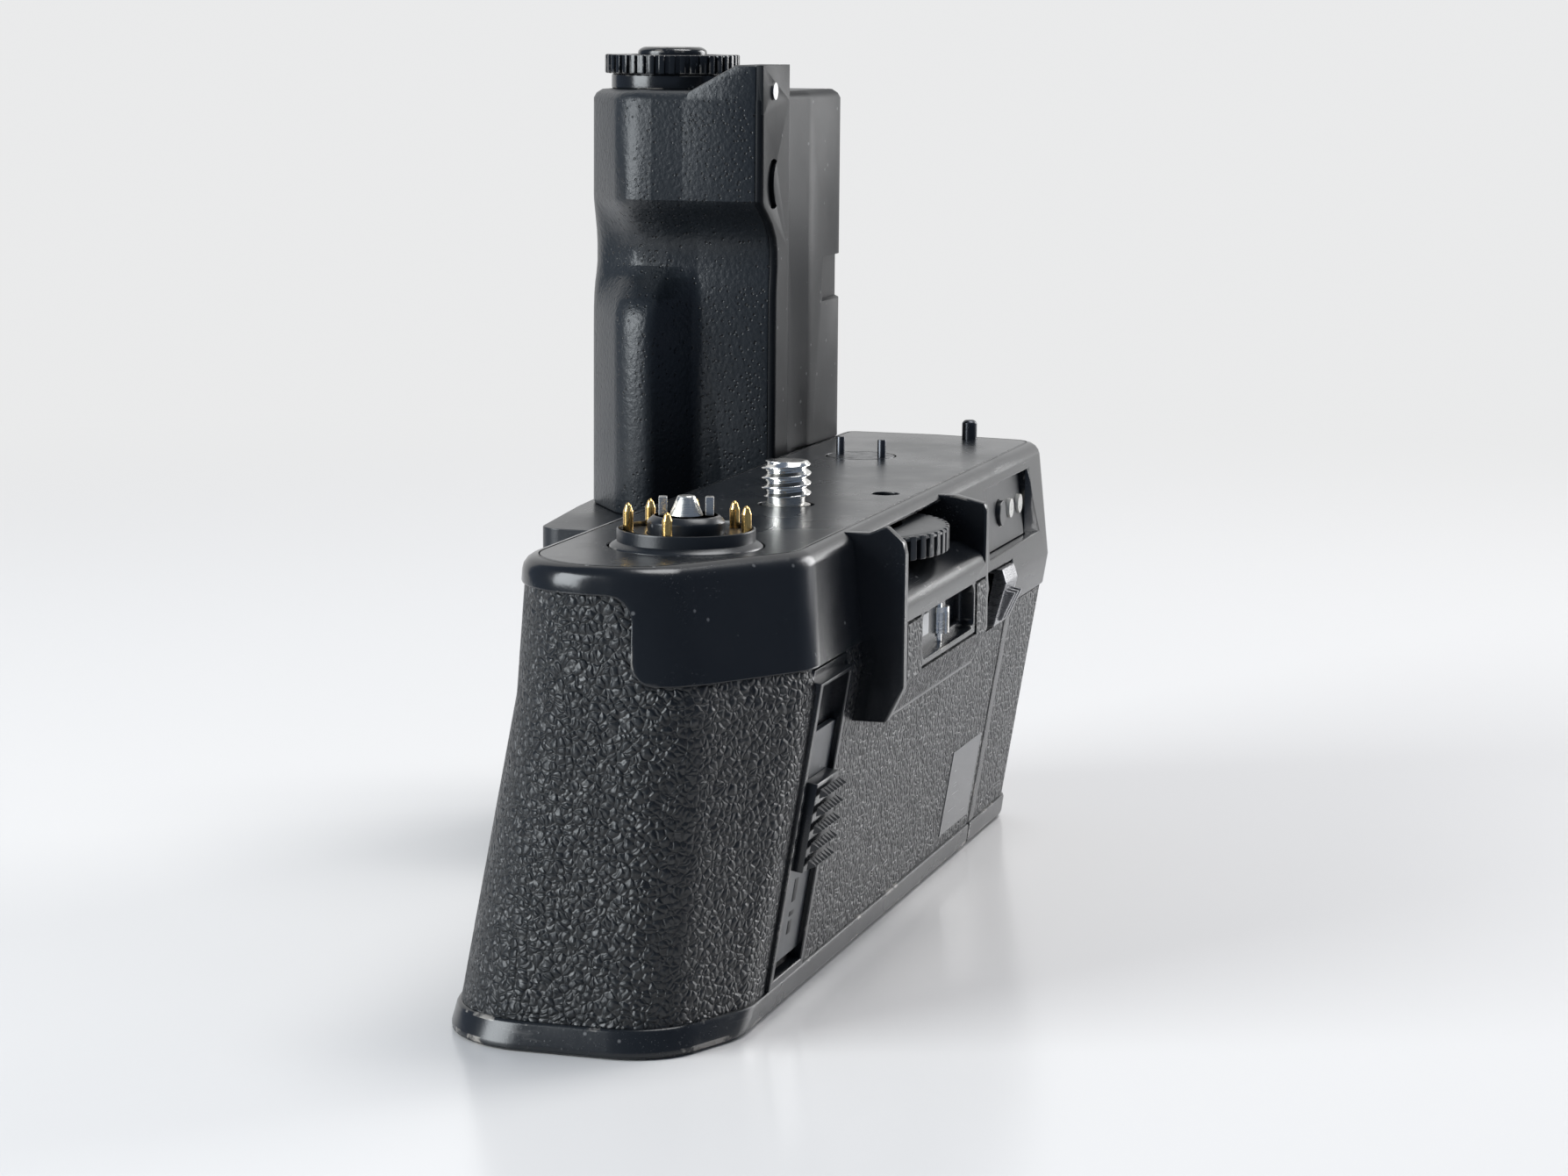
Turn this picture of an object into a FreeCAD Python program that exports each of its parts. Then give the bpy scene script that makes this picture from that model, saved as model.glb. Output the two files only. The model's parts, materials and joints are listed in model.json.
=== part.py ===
import FreeCAD, Part
import math
import os

# Camera motor drive: a leather-covered body that screws under a camera, with a hand grip in front.
# Sizes are in millimetres. Places are measured from the near end of the body (x), the back edge of
# the top plate (y) and the table (z). The grip stands on the +y side. Each finished piece is moved
# so that the mouth of the tripod socket is the origin. Heights stack up from the cells to the top
# plate; whatever sits by the far end is placed from LENGTH, whatever is in the grip from FRONT_Y.

# Walls
RIM_H = 3.5
EDGE_BREAK = 0.6
LEATHER_T = 0.8
TRIM_PROUD = 0.4
WALL = 1.3
FLOOR_T = 2.4
PLATE_T = 2.0
SEAT_INSET = 1.9
HOUSING_WALL = 2.4
TOP_ROUND = 1.75
RUN_CLEAR = 0.05

# Cells, their tray and the cap
CELL_R = 7.1
CELL_LEN = 50.0
CELL_NUB_R = 2.75
CELL_NUB_H = 1.0
CELL_PITCH = 2 * CELL_R + 0.3
CELL_X = 18.0
LOW_ROW_Z = 12.8
HIGH_ROW_Z = LOW_ROW_Z + CELL_PITCH + 0.2
TRAY_LOW_Z = LOW_ROW_Z - CELL_R - 0.2
TRAY_HIGH_Z = HIGH_ROW_Z + CELL_R + 0.3
TRAY_CLEAR = 0.3
TRAY_END_T = 1.5
TONGUE_L = 1.7
SHELF_Z = TRAY_HIGH_Z + TRAY_CLEAR
SHELF_T = 1.2
CAP_SEAM_X = CELL_X + 2 * CELL_LEN + 0.5
SEAM_GAP = 0.6
CAP_TOP_Z = SHELF_Z
CAP_STRIP_W = 3.0
CAP_WALL = 1.5

# Circuit board, gear plate and top plate, one above the other
BOARD_Z = SHELF_Z + 5.8
BOARD_T = 1.4
GEAR_PLATE_Z = BOARD_Z + 5.2
GEAR_PLATE_T = 1.5
GEAR_LOW_Z = GEAR_PLATE_Z + 2.7
GEAR_T = 2.4
PLATE_TOP = GEAR_PLATE_Z + 10.1
KNEE_Z = PLATE_TOP - 16.3

# Overall body. By height: near end x, back y, front y, reach of the near-back cut along x and y
LENGTH = 146.0
FRONT_Y = 30.6
SECTION = (
    (0.0, -3.3, 3.6, FRONT_Y + 8.1, 13.0, 5.6),
    (RIM_H, -2.3, 3.1, FRONT_Y + 7.4, 14.5, 6.8),
    (KNEE_Z, -0.5, -2.9, FRONT_Y + 1.0, 17.3, 11.3),
    (PLATE_TOP, 0.1, -1.2, FRONT_Y, 19.5, 13.3),
)
NEAR_FRONT_R = 12.0
NEAR_BACK_R = 10.0
FAR_CUT_X = 2.8
FAR_CUT_Y = 16.8

# Upper housing
TRIM_FRONT_Z = PLATE_TOP - 3.3
TRIM_BACK_Z = PLATE_TOP - 13.5
TRIM_STEP_Y = 14.0
TRIM_STEP_R = 3.0
FAR_TRIM_Z = CAP_TOP_Z + 0.3
FAR_FLOOR_T = 1.4

# Raised panel under the thumbwheel, between two fins
PANEL_X0 = 38.4
FIN_T = 1.7
RIGHT_FIN_X = 81.3
PANEL_X1 = RIGHT_FIN_X + FIN_T
PANEL_Y = -7.5
PANEL_FOOT_Y = -5.3
PANEL_LOW_Z = PLATE_TOP - 23.3
PANEL_KNEE_Z = PLATE_TOP - 18.3
LEDGE_Z = PLATE_TOP - 8.3
LEDGE_ROOT_Z = PLATE_TOP - 6.7
LEDGE_ROOT_Y = -3.9
FIN_PROUD = 0.35

# Tripod socket and bottom screws
SOCKET_X = 73.0
SOCKET_Y = 20.7
THREAD_R = 3.175
SOCKET_CLEAR = 0.05
SOCKET_R = 5.5
SOCKET_FLANGE_R = 6.6
SOCKET_H = 5.2
SOCKET_DEPTH = 4.6
BOTTOM_SCREW_X0 = 12.0
BOTTOM_SCREW_X1 = CAP_SEAM_X - 9.5
BOTTOM_SCREWS = ((BOTTOM_SCREW_X0, 14.0), (BOTTOM_SCREW_X0, FRONT_Y - 0.6),
                 (BOTTOM_SCREW_X1, 9.5), (BOTTOM_SCREW_X1, FRONT_Y + 1.4))
BOTTOM_SCREW_R = 2.2
BOTTOM_SCREW_SINK = 0.5

# Camera screw, thumbwheel and their gears
SCREW_X = 60.5
SCREW_Y = 13.8
SCREW_TOP_Z = PLATE_TOP + 5.6
THREAD_LOW_Z = PLATE_TOP + 0.1
SHANK_R = 3.0
SCREW_HOLE_R = 3.6
WHEEL_LOW_Z = PLATE_TOP - 5.3
WHEEL_TOP_Z = PLATE_TOP - 2.25
WHEEL_RIBS = 55
WHEEL_RIB_H = 0.6
SCREW_MODULE = 0.76
SCREW_TEETH = 24
WHEEL_TEETH = 34
WHEEL_PITCH_R = WHEEL_TEETH * SCREW_MODULE / 2
WHEEL_Y = SCREW_Y - WHEEL_PITCH_R + SCREW_TEETH * SCREW_MODULE / 2
WHEEL_R = WHEEL_PITCH_R + 4.28
GUIDE_R = WHEEL_PITCH_R + 1.78
GUIDE_W = 0.9
GUIDE_H = 1.0
SIGHT_X = 74.9
SIGHT_Y = 4.6
SIGHT_R = 1.85

# Contact boss and rewind turret
BOSS_X = 20.7
BOSS_Y = 14.2
BOSS_FLANGE_R = 9.1
BOSS_RIM_R = 8.2
BOSS_RIM_T = 0.35
BOSS_RIM_Z = PLATE_TOP + 2.1
BOSS_FLOOR_Z = PLATE_TOP + 1.5
PIN_CIRCLE_R = 7.1
PIN_ANGLES = (180, 93, 55, 10, -36, -76)
PIN_R = 0.6
PIN_TOP_Z = PLATE_TOP + 4.75
TURRET_R = 4.6
TURRET_TOP_Z = PLATE_TOP + 3.6
TURRET_STEM_R = 2.0
FORK_R = 3.6
CONE_R = 2.0
CONE_TOP_R = 1.0
CONE_H = 2.3
PRONG_OFFSET = 2.75
PRONG_W = 1.4
PRONG_T = 1.0
PRONG_H = 2.2
PRONG_ANGLE = -73.0

# Winding coupler and gear train
WIND_X = LENGTH - 31.4
WIND_Y = 18.9
WIND_R = 4.8
WIND_SHAFT_R = 2.0
POST_R = 0.6
POST_H = 2.5
POST_OFFSET = 3.45
POST_ANGLE = 73.0
GEAR_MODULE = 0.8
WIND_TEETH = 17
IDLER_TEETH = 25
PINION_TEETH = 10
IDLER_POST_R = 1.5

# Motor, in the grip
MOTOR_X = LENGTH - 19.0
MOTOR_Y = FRONT_Y + 16.4
MOTOR_R = 11.0
MOTOR_LOW_Z = PLATE_TOP - 1.3
MOTOR_H = 37.0
MOTOR_SHAFT_R = 1.0
MOTOR_SHAFT_IN = 6.0
MOTOR_BOSS_R = 3.5

# Rewind pin with its arm, and the lever whose ramp holds it up
REWIND_X = LENGTH - 5.5
REWIND_Y = 9.5
REWIND_R = 1.1
REWIND_TOP_Z = PLATE_TOP + 2.8
REWIND_FOOT_Z = GEAR_PLATE_Z - 3.6
ARM_X = LENGTH - 12.0
ARM_T = 1.0
LEVER_TRAVEL = 5.0
PIN_LIFT = 1.5
LEVER_X1 = CAP_SEAM_X - 3.0
LEVER_W = 7.0
LEVER_BAR_Z = BOARD_Z - 1.0
LEVER_SLOT_Z = BOARD_Z + 0.3
LEVER_NECK_T = 0.6
POCKET_LOW_Z = CAP_TOP_Z - 2.0
POCKET_X0 = LEVER_X1 - LEVER_W - LEVER_TRAVEL - 0.5
POCKET_DEPTH = TRIM_PROUD + LEATHER_T

# Circuit board, near x to far x and back y to front y
BOARD_X0 = 28.0
BOARD_X1 = POCKET_X0 - 1.0
BOARD_Y0 = 3.0
BOARD_Y1 = FRONT_Y - 3.6

# Rewind slider on the sloping back
SLIDE_X0 = 18.5
SLIDE_X1 = 32.5
SLIDE_LEN = 37.5
SLIDE_RAIL = 1.2
SLIDE_GAP = 0.15
THUMB_LOW = 14.6
THUMB_HIGH = 25.6
THUMB_ROWS = 5

# Counter window: near x, far x, low z, high z
WINDOW = (48.8, 75.2, PANEL_KNEE_Z + 1.2, LEDGE_Z - 3.1)
WINDOW_DEPTH = 1.6
FRAME_W = 0.9
ROLLER_X = 63.0
ROLLER_R = 1.5
ROLLER_Z = WINDOW[2] + 1.2
ROLLER_H = 3.4
ROLLER_RIBS = 12
AXLE_R = 0.55

# Lamp panel: near x, far x, low z, high z
LAMP_PANEL = (LENGTH - 41.0, LENGTH - 14.6, PLATE_TOP - 12.5, PLATE_TOP - 3.0)
LAMP_DEPTH = 1.4
LAMP_PLATE_T = 0.6
LAMP_LEN = 3.0
LAMP_Z = PLATE_TOP - 7.7
CHECK_X = LENGTH - 28.3
CHECK_R = 1.8
LAMP_XS = (LENGTH - 22.4, LENGTH - 16.9)
LAMP_R = 1.35
BRACKET_X = (CHECK_X - 3.5, LAMP_XS[1] + 1.9)
BRACKET_H = 5.8
BRACKET_DEPTH = 4.8

# Grip. By height above the plate: near face of the front pillar, near face of the waist beside it
GRIP_FOOT_Z = PLATE_TOP - 8.8
GRIP_TOP_Z = PLATE_TOP + 50.9
GRIP_FACE_X = LENGTH - 41.5
GRIP_HEIGHTS = (
    (GRIP_FOOT_Z, 0.0, 7.3),
    (PLATE_TOP + 17.2, 0.0, 7.3),
    (PLATE_TOP + 19.7, 0.4, 7.3),
    (PLATE_TOP + 21.7, 1.8, 7.3),
    (PLATE_TOP + 23.3, 3.9, 7.4),
    (PLATE_TOP + 24.7, 6.1, 7.6),
    (PLATE_TOP + 26.2, 7.3, 7.8),
    (PLATE_TOP + 28.7, 7.3, 7.7),
    (PLATE_TOP + 30.7, 6.5, 7.0),
    (PLATE_TOP + 32.7, 4.5, 5.1),
    (PLATE_TOP + 34.1, 2.4, 3.0),
    (PLATE_TOP + 35.1, 0.7, 1.3),
    (PLATE_TOP + 35.9, 0.0, 0.6),
    (GRIP_TOP_Z - 1.2, 0.0, 0.6),
)
GRIP_END_R = 5.0
GRIP_SKIN = 2.5
GRIP_SEAM_Y = FRONT_Y + 1.3
STRIP_Y = FRONT_Y + 0.3
STRIP_X = LENGTH - 28.0
HUMP_Z = GRIP_TOP_Z + 3.8
HUMP_FLAT_Y = FRONT_Y + 4.4
HUMP_FOOT_Y = FRONT_Y + 11.4
HOUSING_FOOT_Z = 8.0
HOUSING_NEAR_X = LENGTH - 57.5
GRIP_HOLLOW = (
    (LENGTH - 2.5, FRONT_Y + 3.4, 2.0),
    (LENGTH - 2.5, FRONT_Y + 20.4, 9.0),
    (LENGTH - 12.5, FRONT_Y + 28.6, 9.0),
    (LENGTH - 27.5, FRONT_Y + 27.0, 6.0),
    (LENGTH - 31.7, FRONT_Y + 21.4, 3.0),
    (LENGTH - 31.7, FRONT_Y + 3.4, 2.0),
)
FOOT_PLAN = (
    (LENGTH, FRONT_Y - 10.6, 0.8),
    (LENGTH, FRONT_Y + 21.4, 12.0),
    (LENGTH - 12.0, FRONT_Y + 31.6, 12.0),
    (LENGTH - 34.0, FRONT_Y + 30.0, 10.0),
    (HOUSING_NEAR_X, FRONT_Y + 27.3, 3.5),
    (HOUSING_NEAR_X, FRONT_Y - 10.6, 0.8),
)
REMOTE_X = HOUSING_NEAR_X + 11.5
REMOTE_Z = 30.0
REMOTE_R = 5.0
REMOTE_FACE_Y = FRONT_Y + 27.4
GRIP_SCREW_X = GRIP_FACE_X + 5.8
GRIP_SCREW_Z = GRIP_TOP_Z + 0.2
GRIP_SCREW_R = 1.2

# Shutter button and selector ring, stacked on the grip
DIAL_X = LENGTH - 20.0
DIAL_Y = FRONT_Y + 20.4
COLLAR_R = 8.8
COLLAR_TOP_Z = GRIP_TOP_Z + 2.1
HUB_R = 7.2
HUB_TOP_Z = COLLAR_TOP_Z + 2.5
RING_R = 9.75
RING_LOW_Z = COLLAR_TOP_Z + 0.1
RING_TOP_Z = HUB_TOP_Z + 0.3
RING_RIBS = 40
RING_RIB_H = 0.45
BUTTON_R = 5.0
BUTTON_WALL = 1.4
BUTTON_TOP_Z = RING_TOP_Z + 1.1
BUTTON_TRAVEL = 1.5
BUTTON_WELL = 3.0

V = FreeCAD.Vector
FAR = 400.0


def box(x0, x1, y0, y1, z0, z1):
    """Block between two corners."""
    return Part.makeBox(x1 - x0, y1 - y0, z1 - z0, V(x0, y0, z0))


def post(x, y, z0, z1, r):
    """Upright cylinder."""
    return Part.makeCylinder(r, z1 - z0, V(x, y, z0), V(0, 0, 1))


def tube(x, y, z0, z1, r, bore):
    """Upright cylinder with a hole through it."""
    return post(x, y, z0, z1, r).cut(post(x, y, z0 - 1, z1 + 1, bore))


def bar_y(x, z, y0, y1, r):
    """Cylinder along y."""
    return Part.makeCylinder(r, y1 - y0, V(x, y0, z), V(0, 1, 0))


def bar_x(y, z, x0, x1, r):
    """Cylinder along x."""
    return Part.makeCylinder(r, x1 - x0, V(x0, y, z), V(1, 0, 0))


def cone(x, y, z0, z1, r0, r1):
    """Upright cone frustum."""
    return Part.makeCone(r0, r1, z1 - z0, V(x, y, z0), V(0, 0, 1))


def fuse(*shapes):
    """One solid out of pieces that touch or overlap."""
    return shapes[0].multiFuse(list(shapes[1:])).removeSplitter()


def prism(points, start, step):
    """Straight-sided block: a polygon of 3-D points, moved to start and swept along step."""
    wire = Part.makePolygon([p + start for p in points] + [points[0] + start])
    return Part.Face(wire).extrude(step)


def prism_yz(points, x0, x1):
    return prism([V(0, y, z) for y, z in points], V(x0, 0, 0), V(x1 - x0, 0, 0))


def prism_xz(points, y0, y1):
    return prism([V(x, 0, z) for x, z in points], V(0, y0, 0), V(0, y1 - y0, 0))


def inset_corners(corners, inset):
    """Moves every side of a counter-clockwise outline inwards and shrinks its corner radii."""
    moved = []
    for i, (x, y, r) in enumerate(corners):
        px, py = corners[i - 1][:2]
        nx, ny = corners[(i + 1) % len(corners)][:2]
        a = V(x - px, y - py, 0).normalize()
        b = V(nx - x, ny - y, 0).normalize()
        na = V(-a.y, a.x, 0)
        nb = V(-b.y, b.x, 0)
        corner = V(x, y, 0) + (na + nb) * (inset / (1 + na.dot(nb)))
        moved.append((corner.x, corner.y, max(r - inset, 0.4)))
    return moved


def outline(corners, z, inset=0.0):
    """Closed wire through rounded corners (x, y, radius), counter-clockwise from above."""
    pts = inset_corners(corners, inset)
    edges = []
    ends = []
    for i, (x, y, r) in enumerate(pts):
        here = V(x, y, z)
        a = (V(pts[i - 1][0], pts[i - 1][1], z) - here).normalize()
        n = pts[(i + 1) % len(pts)]
        b = (V(n[0], n[1], z) - here).normalize()
        half = a.getAngle(b) / 2
        reach = r / math.tan(half)
        middle = (a + b).normalize()
        centre = here + middle * (r / math.sin(half))
        ends.append((here + a * reach, centre - middle * r, here + b * reach))
    for i, (start, mid, end) in enumerate(ends):
        edges.append(Part.LineSegment(ends[i - 1][2], start).toShape())
        edges.append(Part.Arc(start, mid, end).toShape())
    return Part.Wire(edges)


def plan(corners, z0, z1, inset=0.0):
    """Upright block with a rounded outline."""
    return Part.Face(outline(corners, z0, inset)).extrude(V(0, 0, z1 - z0))


def section(z):
    """The row of SECTION at a height: near end, back, front, reach of the cut along x and y."""
    for low, high in zip(SECTION, SECTION[1:]):
        if z <= high[0]:
            break
    t = (z - low[0]) / (high[0] - low[0])
    return [a + (b - a) * t for a, b in zip(low[1:], high[1:])]


def body_corners(z):
    near, back, front, cut_x, cut_y = section(z)
    return (
        (near, front, NEAR_FRONT_R),
        (near, back + cut_y, NEAR_BACK_R),
        (near + cut_x, back, 9.0),
        (LENGTH - FAR_CUT_X, back, 5.0),
        (LENGTH, back + FAR_CUT_Y, 6.0),
        (LENGTH, front, 3.0),
    )


def skin(z0, z1, inset=0.0):
    """The body's outer form between two heights, moved inwards by inset."""
    heights = [z0] + [row[0] for row in SECTION if z0 < row[0] < z1] + [z1]
    return Part.makeLoft([outline(body_corners(z), z, inset) for z in heights], True, True)


def back_y(z):
    return section(z)[1]


SHELL_INSET = TRIM_PROUD + LEATHER_T
INNER_INSET = SHELL_INSET + WALL
SEAM_NEAR = CAP_SEAM_X - SEAM_GAP / 2
SEAM_FAR = CAP_SEAM_X + SEAM_GAP / 2
SEAT_Z = PLATE_TOP - PLATE_T
SLOPE = math.atan2(back_y(RIM_H) - back_y(KNEE_Z), KNEE_Z - RIM_H)


def trim_region():
    """All the space that belongs to the upper housing rather than to the leathered shell."""
    r = TRIM_STEP_R
    y, low, high = TRIM_STEP_Y, TRIM_BACK_Z, TRIM_FRONT_Z
    k = r * (1 - math.sqrt(0.5))
    path = [
        Part.LineSegment(V(0, -FAR, high + 20), V(0, FAR, high + 20)),
        Part.LineSegment(V(0, FAR, high + 20), V(0, FAR, high)),
        Part.LineSegment(V(0, FAR, high), V(0, y + r, high)),
        Part.Arc(V(0, y + r, high), V(0, y + k, high - k), V(0, y, high - r)),
        Part.LineSegment(V(0, y, high - r), V(0, y, low + r)),
        Part.Arc(V(0, y, low + r), V(0, y - k, low + k), V(0, y - r, low)),
        Part.LineSegment(V(0, y - r, low), V(0, -FAR, low)),
        Part.LineSegment(V(0, -FAR, low), V(0, -FAR, high + 20)),
    ]
    band = Part.Face(Part.Wire([c.toShape() for c in path])).extrude(V(LENGTH + 40, 0, 0))
    band.translate(V(-20, 0, 0))
    panel = box(PANEL_X0, PANEL_X1, -20, TRIM_STEP_Y - r, PANEL_LOW_Z, low + 1)
    far_back = box(PANEL_X1, SEAM_NEAR, -20, TRIM_STEP_Y - r, FAR_TRIM_Z, low + 1)
    far_end = box(SEAM_NEAR, LENGTH + 20, -20, 80, FAR_TRIM_Z, high + 1)
    return band.multiFuse([panel, far_back, far_end])


def slide_frame():
    """Placement of the slider's flat drawing (x, height along the slope, outwards) on the back."""
    start = V(0, back_y(RIM_H), RIM_H)
    up = V(0, -math.sin(SLOPE), math.cos(SLOPE))
    out = V(0, -math.cos(SLOPE), -math.sin(SLOPE))
    m = FreeCAD.Matrix(1, up.x, out.x, start.x, 0, up.y, out.y, start.y, 0, up.z, out.z, start.z)
    return m


def on_slope(x0, x1, v0, v1, w0, w1):
    """Block drawn flat and laid on the sloping back: v climbs the slope, w points outwards."""
    piece = box(x0, x1, v0, v1, w0, w1)
    return piece.transformGeometry(slide_frame())


def slope_prism(profile, x0, x1):
    """Profile of (v, w) points swept along x and laid on the sloping back."""
    piece = prism([V(0, v, w) for v, w in profile], V(x0, 0, 0), V(x1 - x0, 0, 0))
    return piece.transformGeometry(slide_frame())


def gear_points(teeth, module, cx, cy, z, phase, add, ded, thick):
    """Corners of straight-flanked teeth; thick is the tooth's share of the pitch."""
    r = teeth * module / 2
    half = math.pi * thick / teeth
    lean = math.tan(math.radians(20))
    tip = half - add * module * lean / r
    root = half + ded * module * lean / r
    pts = []
    for i in range(teeth):
        a = phase + 2 * math.pi * i / teeth
        for turn, radius in ((-root, r - ded * module), (-tip, r + add * module),
                             (tip, r + add * module), (root, r - ded * module)):
            pts.append(V(cx + radius * math.cos(a + turn), cy + radius * math.sin(a + turn), z))
    return pts


def toothed(teeth, module, cx, cy, z0, z1, phase, add=0.8, ded=1.0, thick=0.45):
    return prism(gear_points(teeth, module, cx, cy, z0, phase, add, ded, thick), V(), V(0, 0, z1 - z0))


def ribbed(count, cx, cy, z0, z1, r, depth, share):
    """Upright disc with square ribs round its edge; share is the rib's part of each step."""
    pts = []
    for i in range(count):
        a = 2 * math.pi * i / count
        half = math.pi * share / count
        gap = math.pi / count
        for turn, radius in ((-half, r), (half, r), (half * 1.1, r - depth), (2 * gap - half * 1.1,
                                                                              r - depth)):
            pts.append(V(cx + radius * math.cos(a + turn), cy + radius * math.sin(a + turn), z0))
    return prism(pts, V(), V(0, 0, z1 - z0))


def meshed(x0, y0, r0, x1, y1, r1, side):
    """Centre of a gear that meshes with two others: distances r0 and r1 from them."""
    d = math.hypot(x1 - x0, y1 - y0)
    a = (r0 * r0 - r1 * r1 + d * d) / (2 * d)
    h = math.sqrt(max(r0 * r0 - a * a, 0)) * side
    ux, uy = (x1 - x0) / d, (y1 - y0) / d
    return x0 + a * ux - h * uy, y0 + a * uy + h * ux


WIND_PITCH_R = WIND_TEETH * GEAR_MODULE / 2
IDLER_PITCH_R = IDLER_TEETH * GEAR_MODULE / 2
PINION_PITCH_R = PINION_TEETH * GEAR_MODULE / 2
IDLER_X, IDLER_Y = meshed(WIND_X, WIND_Y, WIND_PITCH_R + IDLER_PITCH_R,
                          MOTOR_X, MOTOR_Y, PINION_PITCH_R + IDLER_PITCH_R, -1)
GEAR_TOP_Z = GEAR_LOW_Z + GEAR_T


def gear_slot():
    """Room for the train where it crosses the walls between body and grip."""
    tip = IDLER_PITCH_R + GEAR_MODULE + 0.6
    return post(IDLER_X, IDLER_Y, GRIP_FOOT_Z, GEAR_TOP_Z + 0.6, tip)


def base_rim():
    """The base trim's solid form, with its lower edge broken."""
    heights = ((0, EDGE_BREAK), (EDGE_BREAK, 0), (RIM_H, 0))
    return Part.makeLoft([outline(body_corners(z), z, inset) for z, inset in heights], True, True)


def bottom_cover():
    cover = base_rim().cut(skin(FLOOR_T, RIM_H + 1, SHELL_INSET))
    cover = cover.cut(box(SEAM_NEAR, LENGTH + 20, -20, 80, -1, RIM_H + 1))
    cover = cover.cut(post(SOCKET_X, SOCKET_Y, -1, FLOOR_T + 1, SOCKET_R))
    for x, y in BOTTOM_SCREWS:
        cover = cover.cut(post(x, y, -1, FLOOR_T + 1, BOTTOM_SCREW_R))
    return cover


def bottom_screws():
    heads = []
    for x, y in BOTTOM_SCREWS:
        head = post(x, y, BOTTOM_SCREW_SINK, FLOOR_T, BOTTOM_SCREW_R)
        slot = box(x - BOTTOM_SCREW_R, x + BOTTOM_SCREW_R, y - 0.3, y + 0.3, 0, BOTTOM_SCREW_SINK + 0.5)
        heads.append(head.cut(slot))
    return Part.makeCompound(heads)


def tripod_socket():
    body = post(SOCKET_X, SOCKET_Y, 0, SOCKET_H, SOCKET_R)
    flange = post(SOCKET_X, SOCKET_Y, FLOOR_T, FLOOR_T + 1.2, SOCKET_FLANGE_R)
    return fuse(body, flange).cut(post(SOCKET_X, SOCKET_Y, -1, SOCKET_DEPTH, THREAD_R + SOCKET_CLEAR))


def slider_opening():
    return on_slope(SLIDE_X0, SLIDE_X1, 0.0, SLIDE_LEN + 2.0, -8, 8)


def body_shell():
    top = TRIM_FRONT_Z
    shell = skin(FLOOR_T, top, SHELL_INSET).cut(skin(FLOOR_T - 1, top + 1, INNER_INSET))
    shelf = skin(SHELF_Z, SHELF_Z + SHELF_T, INNER_INSET - 0.2)
    shell = shell.fuse(shelf.cut(box(PANEL_X1 - 3, LENGTH + 20, -20, 0.5, SHELF_Z - 1, SHELF_Z + 5)))
    shell = shell.cut(box(SEAM_NEAR, LENGTH + 20, -20, 80, 0, top + 1))
    shell = shell.cut(trim_region())
    shell = shell.cut(slider_opening())
    return shell.cut(gear_slot())


def leather_layer(z1):
    return skin(RIM_H, z1, TRIM_PROUD).cut(skin(RIM_H - 1, z1 + 1, SHELL_INSET))


def leather_near():
    keep = box(-20, SLIDE_X0, -20, 60, 0, 80).fuse(box(-20, HOUSING_NEAR_X, 20, 60, 0, 80))
    return leather_layer(TRIM_FRONT_Z).common(keep).cut(trim_region())


def leather_back():
    keep = box(SLIDE_X1, SEAM_NEAR, -20, 15, 0, 80)
    return leather_layer(TRIM_BACK_Z).common(keep).cut(trim_region()).cut(lever_pocket())


def panel_face(out):
    """Profile (y, z) of the raised panel's face below the ledge, moved outwards by out."""
    return [(PANEL_Y - out, LEDGE_Z - 1.2), (PANEL_Y - out, PANEL_KNEE_Z), (PANEL_FOOT_Y - out, PANEL_LOW_Z)]


def panel_block():
    """Raised block that carries the counter window, below the thumbwheel."""
    profile = [(1, LEDGE_ROOT_Z), (LEDGE_ROOT_Y, LEDGE_ROOT_Z), (PANEL_Y + 1.1, LEDGE_Z + 0.45),
               (PANEL_Y + 0.4, LEDGE_Z)] + panel_face(0) + [(1, PANEL_LOW_Z)]
    return prism_yz(profile, PANEL_X0, PANEL_X1)


def fins():
    out = PANEL_Y - FIN_PROUD
    left = prism_yz([(2, PLATE_TOP - 0.1), (-3.2, PLATE_TOP - 0.1), (-5.4, PLATE_TOP + 0.8),
                     (out + 0.3, PLATE_TOP - 1.1), (out, PLATE_TOP - 2.6), (out, PANEL_KNEE_Z - 0.6),
                     (PANEL_FOOT_Y - FIN_PROUD, PANEL_LOW_Z), (2, PANEL_LOW_Z)],
                    PANEL_X0, PANEL_X0 + FIN_T)
    right = prism_yz([(2, PLATE_TOP - 0.6), (-3.4, PLATE_TOP - 0.7), (PANEL_Y + 0.3, PLATE_TOP - 1.6),
                      (PANEL_Y, PLATE_TOP - 2.6), (PANEL_Y, LEDGE_Z - 1.2), (1, LEDGE_ROOT_Z - 3)],
                     RIGHT_FIN_X, PANEL_X1)
    return left, right


def panel_leather_bed(out, gap):
    """Layer on the panel's face round the window, from out above the face to 0.4 below it."""
    x0, x1, z0, z1 = WINDOW
    layer = prism_yz(panel_face(out) + panel_face(-0.4)[::-1], PANEL_X0 + FIN_T + 0.7 + gap,
                     PANEL_X1 - 1.5 - gap)
    keep = box(PANEL_X0, PANEL_X1, -20, 5, PANEL_LOW_Z + 0.8 + gap, z1 - gap)
    edge = FRAME_W + gap
    return layer.common(keep).cut(box(x0 - edge, x1 + edge, -20, 5, z0 - edge, z1 + 5))


def housing_form():
    """The body's form from below the panel upwards, its top edge rounded in steps."""
    rows = [(PANEL_LOW_Z - 1, 0.0), (KNEE_Z, 0.0)]
    for turn in (0.0, 22.5, 45.0, 67.5, 90.0):
        a = math.radians(turn)
        rows.append((PLATE_TOP - TOP_ROUND * (1 - math.sin(a)), TOP_ROUND * (1 - math.cos(a))))
    return Part.makeLoft([outline(body_corners(z), z, inset) for z, inset in rows], True, True)


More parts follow.
